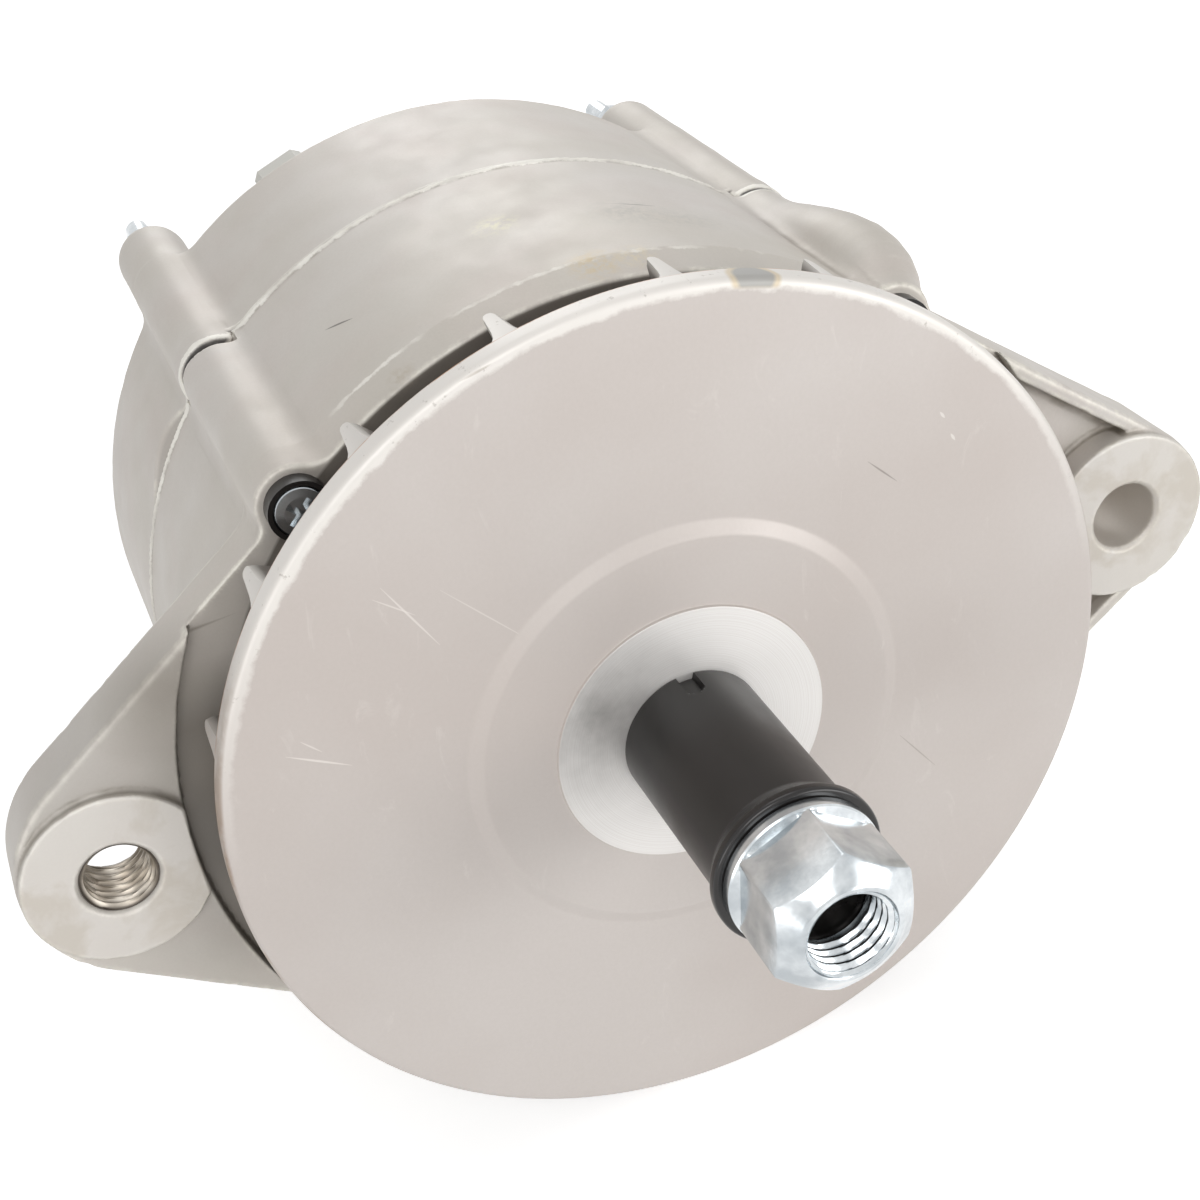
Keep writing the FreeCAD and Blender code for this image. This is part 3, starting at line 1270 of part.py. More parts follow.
def output_insulator():
    centre = output_centre()
    flange = ring(
        OUTPUT_INSULATOR_RADIUS, OUTPUT_STUD_RADIUS, COVER_REAR_Y, COVER_REAR_Y + OUTPUT_INSULATOR_RISE, centre
    )
    neck = ring(OUTPUT_INSULATOR_NECK, OUTPUT_STUD_RADIUS, COVER_REAR_Y - COVER_WALL - 1.0, COVER_REAR_Y, centre)
    return fused([flange, neck])


def output_nut():
    y0 = COVER_REAR_Y + OUTPUT_INSULATOR_RISE
    return hexagon(OUTPUT_NUT_FLATS, y0, y0 + OUTPUT_NUT_HEIGHT, output_centre(), 20, OUTPUT_STUD_RADIUS)


def signal_block():
    """Pale moulded connector block behind the upper left of the rear housing."""
    half = BLOCK_WIDTH / 2
    y0 = REAR_FACE_Y
    outer = BLOCK_OUTER_RADIUS
    inner = BLOCK_INNER_RADIUS
    corners = [
        Vector(inner, y0, -half),
        Vector(outer - BLOCK_CORNER, y0, -half),
        Vector(outer, y0, -half + BLOCK_CORNER),
        Vector(outer, y0, half - BLOCK_CORNER),
        Vector(outer - BLOCK_CORNER, y0, half),
        Vector(inner, y0, half),
    ]
    body = Part.Face(Part.makePolygon(corners + corners[:1])).extrude(Vector(0, BLOCK_LENGTH, 0))
    mouth = box(inner + 2, outer - 2.4, y0 + 4, y0 + BLOCK_LENGTH + 1, -half + 2, half - 2)
    return spun(body.cut(mouth), BLOCK_ANGLE)


def signal_pins():
    """Two flat contact blades inside the connector block."""
    pins = []
    middle = (BLOCK_INNER_RADIUS + BLOCK_OUTER_RADIUS) / 2
    for z in (-2.4, 2.4):
        blade = box(middle - 3, middle + 3, REAR_FACE_Y + 4, REAR_FACE_Y + BLOCK_LENGTH - 2, z - 0.4, z + 0.4)
        pins.append(spun(blade, BLOCK_ANGLE))
    return Part.makeCompound(pins)


def through_bolts():
    bolts = []
    head_y = FRONT_FACE_Y - BOLT_HEAD_HEIGHT
    for angle in BOLT_ANGLES:
        centre = polar(BOLT_CIRCLE_RADIUS, angle)
        body = turned([
            (0, head_y),
            (BOLT_HEAD_RADIUS * 0.6, head_y + 0.1),
            (BOLT_HEAD_RADIUS - 0.5, head_y + BOLT_HEAD_DOME * 0.6),
            (BOLT_HEAD_RADIUS, head_y + BOLT_HEAD_DOME * 1.6),
            (BOLT_HEAD_RADIUS, FRONT_FACE_Y),
            (BOLT_RADIUS, FRONT_FACE_Y),
            (BOLT_RADIUS, BOLT_TIP_Y - BOLT_TIP_CHAMFER),
            (BOLT_RADIUS - BOLT_TIP_CHAMFER, BOLT_TIP_Y),
            (0, BOLT_TIP_Y),
        ])
        span = BOLT_CROSS_SPAN / 2
        half = BOLT_CROSS_WIDTH / 2
        y0 = head_y - 1
        y1 = head_y + BOLT_CROSS_DEPTH
        cross = box(-span, span, y0, y1, -half, half).fuse(box(-half, half, y0, y1, -span, span))
        cross.rotate(Vector(0, 0, 0), AXIS, angle)
        body = body.cut(cross)
        body.translate(centre)
        bolts.append(body)
    return Part.makeCompound(bolts)


def bolt_rings():
    """Black ring round each bolt head."""
    y0 = FRONT_FACE_Y - BOLT_RING_HEIGHT
    return Part.makeCompound([
        ring(BOLT_RING_RADIUS, BOLT_HEAD_RADIUS, y0, FRONT_FACE_Y, polar(BOLT_CIRCLE_RADIUS, angle))
        for angle in BOLT_ANGLES
    ])


def bolt_washers():
    y1 = TUBE_END_Y + BOLT_WASHER_THICKNESS
    return Part.makeCompound([
        ring(BOLT_WASHER_RADIUS, BOLT_RADIUS, TUBE_END_Y, y1, polar(BOLT_CIRCLE_RADIUS, angle))
        for angle in BOLT_ANGLES
    ])


def bolt_nuts():
    y0 = TUBE_END_Y + BOLT_WASHER_THICKNESS
    return Part.makeCompound([
        hexagon(BOLT_NUT_FLATS, y0, y0 + BOLT_NUT_HEIGHT, polar(BOLT_CIRCLE_RADIUS, angle), angle, BOLT_RADIUS)
        for angle in BOLT_ANGLES
    ])


def all_nodes():
    front = bearing(
        FRONT_BEARING_BORE,
        FRONT_BEARING_OUTER,
        FRONT_BEARING_WIDTH,
        FRONT_BEARING_BALL,
        FRONT_BEARING_BALLS,
        FRONT_BEARING_Y,
    )
    rear = bearing(
        REAR_BEARING_BORE,
        REAR_BEARING_OUTER,
        REAR_BEARING_WIDTH,
        REAR_BEARING_BALL,
        REAR_BEARING_BALLS,
        REAR_BEARING_Y,
    )
    return {
        "front_housing": front_housing(),
        "rear_housing": rear_housing(),
        "stator_core": stator_core(),
        "stator_winding": stator_winding(),
        "front_bearing_outer": front[0],
        "front_bearing_inner": front[1],
        "front_bearing_balls": front[2],
        "front_bearing_cage": front[3],
        "front_bearing_seals": front[4],
        "bearing_retainer": bearing_retainer(),
        "retainer_screws": retainer_screws(),
        "rear_bearing_outer": rear[0],
        "rear_bearing_inner": rear[1],
        "rear_bearing_balls": rear[2],
        "rear_bearing_cage": rear[3],
        "rear_bearing_seals": rear[4],
        "shaft": shaft(),
        "shaft_key": key_solid(0.0),
        "fan": fan(),
        "spacer_sleeve": spacer_sleeve(),
        "seat_washer": seat_washer(),
        "shaft_nut": shaft_nut(),
        "spacer_ring": spacer_ring(),
        "claw_pole_front": claw_pole(POLE_FRONT_Y, 1, 0.0),
        "claw_pole_rear": claw_pole(POLE_BACK_Y, -1, 180.0 / POLE_PAIRS),
        "field_core": field_core(),
        "field_coil": field_coil(),
        "slip_core": slip_core(),
        "slip_rings": slip_rings(),
        "brush_holder": brush_holder(),
        "brushes": brushes(),
        "brush_springs": brush_springs(),
        "regulator": regulator(),
        "negative_plate": negative_plate(),
        "positive_plate": positive_plate(),
        "negative_diodes": negative_diodes(),
        "positive_diodes": positive_diodes(),
        "plate_standoffs": plate_standoffs(),
        "plate_screws": plate_screws(),
        "rear_cover": rear_cover(),
        "cover_screws": cover_screws(),
        "output_stud": output_stud(),
        "output_insulator": output_insulator(),
        "output_nut": output_nut(),
        "signal_block": signal_block(),
        "signal_pins": signal_pins(),
        "through_bolts": through_bolts(),
        "bolt_rings": bolt_rings(),
        "bolt_washers": bolt_washers(),
        "bolt_nuts": bolt_nuts(),
    }


def main():
    os.makedirs("parts", exist_ok=True)
    for name, shape in all_nodes().items():
        shape.exportStep("parts/" + name + ".step")


main()
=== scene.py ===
"""Looks of the alternator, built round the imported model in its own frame.

The two housings are modelled as distance fields in millimetres, with their real fillets, cast
edges and worn spots, and meshed here. Turned pieces are revolved profiles. Every other node
keeps its solid and gets a procedural material.
"""

import json
import math

import bpy
import numpy as np
from mathutils import Matrix, Vector


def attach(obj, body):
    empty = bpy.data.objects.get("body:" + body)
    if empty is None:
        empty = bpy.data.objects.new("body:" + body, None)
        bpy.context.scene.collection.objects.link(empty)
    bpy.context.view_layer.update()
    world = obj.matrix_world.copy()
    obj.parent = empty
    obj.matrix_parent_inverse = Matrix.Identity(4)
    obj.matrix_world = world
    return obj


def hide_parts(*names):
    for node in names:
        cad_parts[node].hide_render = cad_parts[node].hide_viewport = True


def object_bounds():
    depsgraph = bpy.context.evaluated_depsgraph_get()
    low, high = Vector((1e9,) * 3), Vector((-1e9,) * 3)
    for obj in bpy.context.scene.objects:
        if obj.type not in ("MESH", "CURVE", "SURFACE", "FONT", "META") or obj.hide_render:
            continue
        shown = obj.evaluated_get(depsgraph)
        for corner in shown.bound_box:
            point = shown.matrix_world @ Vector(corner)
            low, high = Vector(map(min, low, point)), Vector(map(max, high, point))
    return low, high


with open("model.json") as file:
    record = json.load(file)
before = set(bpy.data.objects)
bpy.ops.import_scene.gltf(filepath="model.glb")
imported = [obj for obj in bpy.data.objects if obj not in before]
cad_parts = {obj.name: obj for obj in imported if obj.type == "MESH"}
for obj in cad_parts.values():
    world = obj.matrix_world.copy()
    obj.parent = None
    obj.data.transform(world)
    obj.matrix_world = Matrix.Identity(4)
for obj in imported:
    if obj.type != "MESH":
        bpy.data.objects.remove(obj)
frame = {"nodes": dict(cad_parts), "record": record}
CAD_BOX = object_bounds()
MM = 0.001

# Sizes of the visible forms, in millimetres, as the part's source has them
SHELL_R, SHELL_WALL = 93.9, 6.4
INNER_R = SHELL_R - SHELL_WALL
REAR_R = SHELL_R - 0.3
BOLT_R, BOLT_FIRST, BOLT_HOLE_R = SHELL_R - 2.1, 43.9, 3.3
FACE_Y, BEVEL_Y, BEVEL_DEPTH = 25.3, 33.3, 2.3
SEAM_Y, REAR_FACE_Y, BURR = 95.5, 151.0, 0.55
TUBE_R, TUBE_FRONT_R, TUBE_FILLET = 8.75, 8.1, 7.0
TUBE_SEAM_Y, TUBE_GAP, TUBE_LIP, TUBE_LIP_LENGTH = 92.3, 0.35, 0.35, 9.0
TUBE_END_Y, TUBE_END_ROUND = 176.0, 3.2
NOTCH_DEPTH, NOTCH_HALF, NOTCH_MIDDLE = 5.2, 13.9, math.radians(148.5)
NOTCH_FLOOR, NOTCH_SLOPE = 4.0, 1.33
# The gap at the seam of the upper left tube is wider: its angle, how much, and its spread
WIDE_GAP_AT, WIDE_GAP, WIDE_GAP_SPREAD = 2.28, 2.1, 0.085
SLEEVE_R, SLEEVE_Y, SLEEVE_BORE_R, SLEEVE_FLARE = 15.35, -46.4, 11.05, 1.5
# Key slot of the sleeve: half width, straight length, length of its round end, depth
SLOT_HALF, SLOT_RUN, SLOT_ROUND, SLOT_DEPTH = 2.0, 5.2, 1.8, 1.4
SEAT_R, SEAT_Y = 17.5, -48.9
FLANGE_R, FLANGE_Y, NUT_CORNER_R, NUT_CORNER = 15.9, -51.9, 15.85, 83.7
NUT_FRONT_Y, NUT_FRONT_R, NUT_MOUTH_R, NUT_CONE, NUT_PITCH = -70.2, 10.4, 9.4, 4.0, 2.1
THREAD_R, SHAFT_Y, EAR_PITCH, INSERT_R, INSERT_END_Y = 9.0, -60.5, 2.0, 8.05, 35.9
FAN_R, FAN_HUB_R, FAN_FACE_Y, FAN_BACK_Y = 98.0, 29.8, 2.1, 7.7
FAN_BORE_R, PLATEAU_R, FAN_BOSS_R, FAN_BOSS_Y = 11.0, 45.4, 27.0, 24.0
BLADES, BLADE_FIRST, BLADE_SKEW, BLADE_LENGTH, BLADE_TIP_Y = 18, 2.5, 14, 41, 19.6
RELIEF_R = FAN_R + 4.2
EAR_X, EAR_FACE_Y, EAR_WEB_Y, EAR_HOLE_R, EAR_ROOT_R = SHELL_R + 24.3, 19.9, 22.1, 8.0, 80.0
# Each ear: back, radius of its boss, centre and radius of its round end, and where its
# sides run to, as the angle of a tube and an offset from the tube's axis
LEFT_BACK_Y, LEFT_BOSS_R, LEFT_END_X, LEFT_END_R = 36.7, 19.8, -(EAR_X - 8.5), 28.5
LEFT_ROOTS = ((133.9, 1.0), (223.9, 1.0))
RIGHT_BACK_Y, RIGHT_BOSS_R, RIGHT_END_X, RIGHT_END_R = 44.0, 20.3, EAR_X, 20.6
RIGHT_ROOTS = ((43.9, 4.0), (313.9, -5.0))
POCKET_WALL, POCKET_DEPTH = 3.4, 5.0
HUB_R, BEARING_R, OPENING_R = 45.0, 31.0, 19.5
BEARING_Y, HUB_BACK_Y, PLATE_BACK_Y = 30.8, 47.8, 33.3
STATOR_FRONT_Y, STATOR_BACK_Y, SHOULDER_R = 72.0, 112.0, INNER_R - 2.5
REAR_INNER_Y, REAR_HUB_R, REAR_HUB_Y0, REAR_HUB_Y1 = 143.4, 32.0, 132.0, 153.0
REAR_BEARING_R, REAR_BEARING_Y, REAR_OPENING_R, REAR_WINDOW_Y = 23.5, 150.4, 13.0, 140.0
# Windows: inner and outer radius, half width of the ribs between them, round of the corners
FRONT_WINDOWS, REAR_WINDOWS = (51.0, 78.0, 4.5, 4.0), (36.0, 68.0, 6.3, 3.0)
# Swelling of the upper right tube: y, how far its centre lies outside the tube's, radius
SWELLING = (
    (24, -1, 7.6), (27, 0, 8.0), (30, 1.2, 8.3), (34, 3.1, 8.9), (38.5, 4.2, 9.5), (43.5, 4.8, 9.9),
    (49.5, 5.0, 10.1), (57, 4.5, 10.0), (64, 3.6, 9.6), (73, 2.0, 9.1), (83, -0.2, 8.2),
    (90, -1.5, 7.4),
)
# Multipliers of the hash behind value_noise
HASH_X, HASH_Y, HASH_Z, HASH_MIX = 374761393, 668265263, 2147483647, 1274126177


# ---- distance fields
def union(a, b, blend):
    """Both solids, with a fillet of about the blend where they meet."""
    h = np.clip(0.5 + 0.5 * (b - a) / blend, 0, 1)
    return b + (a - b) * h - blend * h * (1 - h)


def common(a, b, blend):
    return -union(-a, -b, blend)


def cut(a, b, blend):
    return -union(-a, b, blend)


def folded(theta, r, first, count):
    """Angle folded about the nearest of count directions: along it, across it."""
    step = 2 * math.pi / count
    phi = np.mod(theta - math.radians(first) + step / 2, step) - step / 2
    return r * np.cos(phi), np.abs(r * np.sin(phi))


def rod(u, v, radius, cu=0.0, cv=0.0):
    return np.hypot(u - cu, v - cv) - radius


def slab(y, y0, y1):
    return np.maximum(y0 - y, y - y1)


def value_noise(p, size, seed):
    """Smooth noise from -1 to 1 with lumps of about the given size."""
    q = p / size + seed * 7.31
    cell = np.floor(q).astype(np.int64)
    f = q - cell
    f = f * f * (3 - 2 * f)
    total = np.zeros(len(p))
    for corner in range(8):
        offset = np.array([(corner >> k) & 1 for k in range(3)])
        c = cell + offset
        h = c[:, 0] * HASH_X + c[:, 1] * HASH_Y + c[:, 2] * HASH_Z + seed * HASH_MIX
        h &= 0xFFFFFFFF
        h = ((h ^ (h >> 13)) * HASH_MIX) & 0xFFFFFFFF
        h = (h ^ (h >> 16)) & 0xFFFF
        weight = np.prod(np.where(offset, f, 1 - f), axis=1)
        total += weight * (h / 32767.5 - 1)
    return total


def shell_outline(u, v, wall, tube):
    """Round wall with a bolt tube at angle 0, joined by round fillets of TUBE_FILLET."""
    reach = wall + TUBE_FILLET
    cosine = (BOLT_R ** 2 + reach ** 2 - (tube + TUBE_FILLET) ** 2) / (2 * BOLT_R * reach)
    fu, fv = reach * cosine, reach * np.sqrt(1 - cosine ** 2)
    d = np.minimum(np.hypot(u, v) - wall, np.hypot(u - BOLT_R, v) - tube)
    pu, pv = u - fu, v - fv
    # the fillet's own sector lies between the directions to the shaft and to the tube
    au, av = -fu, -fv
    bu, bv = BOLT_R - fu, -fv
    inside = (au * pv - av * pu > 0) & (bu * pv - bv * pu < 0)
    away = np.hypot(pu, pv)
    return np.where(inside & (away < TUBE_FILLET * 3), TUBE_FILLET - away, d)


def turned(x, z, out):
    """Vector turned by a quarter, so that its x points to the side of out."""
    return (z, -x) if -z * out < 0 else (-z, x)


def ear_outline(x, z, end_x, end_r, roots):
    """Lug outline: a round end and two straight sides towards the bolt tubes."""
    out = math.copysign(1, end_x)
    vx, vz = x - end_x, z
    sides, beyond = [], []
    for angle, offset in roots:
        a = math.radians(angle)
        rx, rz = BOLT_R * math.cos(a) - end_x, BOLT_R * math.sin(a)
        length = math.hypot(rx, rz)
        ax, az = rx / length, rz / length
        lean = (end_r - offset) / length
        cx, cz = turned(ax, az, out)
        nx = ax * lean + cx * math.sqrt(1 - lean ** 2)
        nz = az * lean + cz * math.sqrt(1 - lean ** 2)
        sides.append(nx * vx + nz * vz - end_r)
        tx, tz = turned(nx, nz, out)
        beyond.append(tx * vx + tz * vz > 0)
    foot = BOLT_R * math.cos(math.radians(BOLT_FIRST)) - out * x
    straight = np.maximum(np.maximum(sides[0], sides[1]), foot)
    return np.where(beyond[0] & beyond[1], np.hypot(vx, vz) - end_r, straight)


def windows(theta, r, count, sizes):
    """Round of air windows; the first rib lies at the first bolt."""
    inner, outer, rib, corner = sizes
    across = folded(theta, r, BOLT_FIRST, count)[1]
    return common(common(r - outer, inner - r, 1.0), rib - across, corner)


def front_field(p):
    """Front housing: shell, tubes and ears, then what is hollow in them."""
    x, y, z = p[:, 0], p[:, 1], p[:, 2]
    r, theta = np.hypot(x, z), np.arctan2(z, x)
    u, v = folded(theta, r, BOLT_FIRST, 4)
    share = np.clip((BEVEL_Y - y) / (BEVEL_Y - FACE_Y), 0, 1)
    lip = BURR * np.exp(-((y - SEAM_Y + 0.6) / 0.7) ** 2)
    wall = SHELL_R - BEVEL_DEPTH * share + lip
    tube = TUBE_R + (TUBE_FRONT_R - TUBE_R) * share
    d = shell_outline(u, v, wall, tube)
    ys, offsets, radii = (np.array(c, float) for c in zip(*SWELLING))
    a = math.radians(BOLT_FIRST)
    reach = BOLT_R + np.interp(y, ys, offsets)
    swell = rod(x, z, np.interp(y, ys, radii), reach * math.cos(a), reach * math.sin(a))
    d = union(d, common(swell, slab(y, ys[0], ys[-1]), 3.0), 2.5)
    d = common(d, slab(y, FACE_Y, SEAM_Y), 0.9)
    left = ear_outline(x, z, LEFT_END_X, LEFT_END_R, LEFT_ROOTS)
    left = common(left, slab(y, EAR_WEB_Y, LEFT_BACK_Y), 1.5)
    boss = common(rod(x, z, LEFT_BOSS_R, -EAR_X), slab(y, EAR_FACE_Y, LEFT_BACK_Y), 0.7)
    left = union(left, boss, 0.8)
    right = ear_outline(x, z, RIGHT_END_X, RIGHT_END_R, RIGHT_ROOTS)
    pocket = common(right + POCKET_WALL, y - EAR_WEB_Y - POCKET_DEPTH, 2.0)
    right = cut(common(right, slab(y, EAR_WEB_Y, RIGHT_BACK_Y), 1.5), pocket, 1.0)
    boss = common(rod(x, z, RIGHT_BOSS_R, EAR_X), slab(y, EAR_FACE_Y, RIGHT_BACK_Y), 0.7)
    right = union(right, boss, 1.0)
    ears = common(np.where(x < 0, left, right), EAR_ROOT_R - r, 1.0)
    d = union(d, ears, 3.0)
    d = cut(d, np.maximum(r - RELIEF_R, y - FACE_Y), 0.6)
    hollow_r = np.where(y > STATOR_FRONT_Y, INNER_R, SHOULDER_R)
    hollow = np.maximum(PLATE_BACK_Y - y, r - hollow_r)
    hollow = np.maximum(hollow, -np.maximum(r - HUB_R, y - HUB_BACK_Y))
    hollow = np.maximum(hollow, -np.maximum(rod(u, v, TUBE_R, BOLT_R), y - STATOR_FRONT_Y))
    d = cut(d, hollow, 1.2)
    window = windows(theta, r, 12, FRONT_WINDOWS)
    d = cut(d, np.maximum(window, y - PLATE_BACK_Y - 2), 1.0)
    d = cut(d, np.maximum(r - BEARING_R, BEARING_Y - y), 0.4)
    d = cut(d, r - OPENING_R, 0.8)
    d = cut(d, rod(u, v, BOLT_HOLE_R, BOLT_R), 0.3)
    # room for the noses of the rear housing's tubes
    seat = np.maximum(rod(u, v, TUBE_R + TUBE_LIP + TUBE_GAP, BOLT_R), SHELL_R + TUBE_GAP - r)
    wide = WIDE_GAP * np.exp(-((theta - WIDE_GAP_AT) / WIDE_GAP_SPREAD) ** 2)
    d = cut(d, np.maximum(seat, TUBE_SEAM_Y - TUBE_GAP - y - wide), 0.5)
    for side in (-1, 1):
        mouth = 0.9 * np.exp(-((y - EAR_FACE_Y) / 0.6) ** 2)
        d = cut(d, rod(x, z, EAR_HOLE_R, side * EAR_X) - mouth, 0.3)
    return d


def rear_field(p):
    """Rear housing: shell, tubes with their noses, hub and the crescent notch."""
    x, y, z = p[:, 0], p[:, 1], p[:, 2]
    r, theta = np.hypot(x, z), np.arctan2(z, x)
    u, v = folded(theta, r, BOLT_FIRST, 4)
    d = shell_outline(u, v, np.full_like(r, REAR_R), np.full_like(r, TUBE_R))
    d = common(d, slab(y, SEAM_Y, REAR_FACE_Y), 2.0)
    d = np.maximum(d, SEAM_Y - y)
    lip = TUBE_LIP * np.clip((SEAM_Y + TUBE_LIP_LENGTH - y) / (TUBE_LIP_LENGTH * 0.6), 0, 1)
    radial = rod(u, v, TUBE_R + lip, BOLT_R)
    tube = common(radial, slab(y, SEAM_Y, TUBE_END_Y), TUBE_END_ROUND * 1.6)
    tube = np.maximum(np.where(y < SEAM_Y + 6, radial, tube), SEAM_Y - y)
    nose = common(radial, TUBE_SEAM_Y - y, 1.0)
    nose = np.maximum(np.maximum(nose, SHELL_R + TUBE_GAP - r), y - SEAM_Y - 1)
    d = union(d, tube, 0.5)
    hollow_r = np.where(y < STATOR_BACK_Y, INNER_R, SHOULDER_R)
    hollow = np.maximum(r - hollow_r, y - REAR_INNER_Y)
    hollow = np.maximum(hollow, -np.maximum(rod(u, v, TUBE_R, BOLT_R), STATOR_BACK_Y - y))
    d = cut(d, hollow, 1.2)
    d = np.minimum(d, nose)
    hub = common(r - REAR_HUB_R, slab(y, REAR_HUB_Y0, REAR_HUB_Y1), 1.0)
    d = union(d, hub, 1.5)
    window = windows(theta, r, 8, REAR_WINDOWS)
    d = cut(d, np.maximum(window, REAR_WINDOW_Y - y), 1.0)
    d = cut(d, np.maximum(r - REAR_BEARING_R, y - REAR_BEARING_Y), 0.4)
    d = cut(d, r - REAR_OPENING_R, 0.6)
    d = cut(d, rod(u, v, BOLT_HOLE_R, BOLT_R), 0.3)
    out = x * math.cos(NOTCH_MIDDLE) + z * math.sin(NOTCH_MIDDLE)
    along = -x * math.sin(NOTCH_MIDDLE) + z * math.cos(NOTCH_MIDDLE)
    depth = NOTCH_DEPTH + (out - SHELL_R + NOTCH_FLOOR) * NOTCH_SLOPE
    crescent = (y - SEAM_Y - depth * (1 - (along / NOTCH_HALF) ** 2)) * 0.6
    return cut(d, np.maximum(crescent, SHELL_R - NOTCH_FLOOR - out), 0.7)


def surface_mesh(field, low, high, step):
    """Zero level of a field as quads: sampled only near the surface, then drawn onto it."""
    block = 8
    next_corner = (4, 2, 1)  # along x, y and z, in a cell's list of eight
    low = np.array(low, float)
    counts = np.ceil((np.array(high) - low) / (step * block)).astype(int)
    ids = np.stack(np.meshgrid(*[np.arange(c) for c in counts], indexing="ij"), -1).reshape(-1, 3)
    near = np.abs(in_parts(field, low + (ids + 0.5) * block * step)) < step * block * 1.1
    ids = ids[near]
    local = np.stack(np.meshgrid(*[np.arange(block + 1)] * 3, indexing="ij"), -1).reshape(-1, 3)
    grid = counts * block + 1
    cells, corner_values = [], []
    shifts = [np.array([(k >> 2) & 1, (k >> 1) & 1, k & 1]) for k in range(8)]
    for part in np.array_split(ids, max(1, len(ids) // 1500)):
        points = low + ((part * block)[:, None, :] + local[None]).reshape(-1, 3) * step
        value = field(points).reshape(len(part), block + 1, block + 1, block + 1)
        stack = [value[:, i:i + block, j:j + block, k:k + block] for i, j, k in shifts]
        stack = np.stack(stack, -1)
        below = (stack < 0).sum(-1)
        mixed = np.argwhere((below > 0) & (below < 8))
        cells.append(part[mixed[:, 0]] * block + mixed[:, 1:])
        corner_values.append(stack[tuple(mixed.T)])
    cells = np.concatenate(cells)
    values = np.concatenate(corner_values)
    key = (cells[:, 0] * grid[1] + cells[:, 1]) * grid[2] + cells[:, 2]
    order = np.argsort(key)
    cells, values, key = cells[order], values[order], key[order]
    # one point in each cell that the surface crosses, amid the crossings of its edges
    total = np.zeros((len(cells), 3))
    count = np.zeros(len(cells))
    for i in range(8):
        for axis in range(3):
            if shifts[i][axis]:
                continue
            j = i + next_corner[axis]
            a, b = values[:, i], values[:, j]
            hit = (a < 0) != (b < 0)
            t = np.where(hit, a / np.where(hit, a - b, 1), 0)
            at = np.repeat(shifts[i][None].astype(float), len(cells), 0)
            at[:, axis] += t
            total[hit] += at[hit]
            count[hit] += 1
    points = low + (cells + total / count[:, None]) * step
    # one quad round each crossed edge
    quads = []
    strides = np.array([grid[1] * grid[2], grid[2], 1])
    for axis in range(3):
        a, b = values[:, 0] < 0, values[:, next_corner[axis]] < 0
        for inward, hit in ((True, a & ~b), (False, ~a & b)):
            k = key[hit]
            s, t = strides[(axis + 1) % 3], strides[(axis + 2) % 3]
            ring = [k, k - s, k - s - t, k - t]
            found = [np.searchsorted(key, q) for q in ring]
            ok = np.ones(len(k), bool)
            for f, q in zip(found, ring):
                ok &= (f < len(key)) & (key[np.minimum(f, len(key) - 1)] == q)
            quad = np.stack(found, 1)[ok]
            quads.append(quad if inward else quad[:, ::-1])
    for _ in range(2):
        distance, slope = gradient(field, points, step * 0.4)
        points = points - np.clip(distance, -step * 0.5, step * 0.5)[:, None] * slope
    return points, np.concatenate(quads)


def in_parts(field, points, size=400000):
    """Field at many points, a part at a time to spare memory."""
    return np.concatenate([field(points[k:k + size]) for k in range(0, len(points), size)])


def beside(field, points, reach):
    """Field after and before the points along each axis."""
    for shift in np.eye(3) * reach:
        yield in_parts(field, points + shift), in_parts(field, points - shift)


def gradient(field, points, reach):
    """Field value and unit slope at the points."""
    slope = np.stack([after - before for after, before in beside(field, points, reach)], 1)
    slope /= np.maximum(np.linalg.norm(slope, axis=1), 1e-9)[:, None]
    return in_parts(field, points), slope


def bend(field, points, reach):
    """How sharply the surface turns at each point: positive on outer edges."""
    total = -6 * in_parts(field, points)
    for after, before in beside(field, points, reach):
        total += after + before
    return total / reach ** 2


# ---- mesh helpers
def linked(name, data):
    """New object in the scene."""
    obj = bpy.data.objects.new(name, data)
    bpy.context.scene.collection.objects.link(obj)
    return obj


def piece_from(name, shape, body, replaced, slot, sharp, material=None, second=None):
    """Object from points in millimetres and faces; it rides on a body and may stand for nodes.

    second is a pair: another material, and a test that picks its faces by their centre.
    """
    points, faces = shape
    mesh = bpy.data.meshes.new(name)
    mesh.from_pydata((points * MM).tolist(), [], faces)
    mesh.validate()
    mesh.update()
    obj = linked(name, mesh)
    mesh.materials.append(material or MATERIALS[slot])
    if second:
        mesh.materials.append(second[0])
        for face in mesh.polygons:
            if second[1](face.center / MM):
                face.material_index = 1
    mesh.shade_smooth()
    mesh.set_sharp_from_angle(angle=math.radians(sharp))
    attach(obj, body)
    if replaced:
        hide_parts(*replaced)


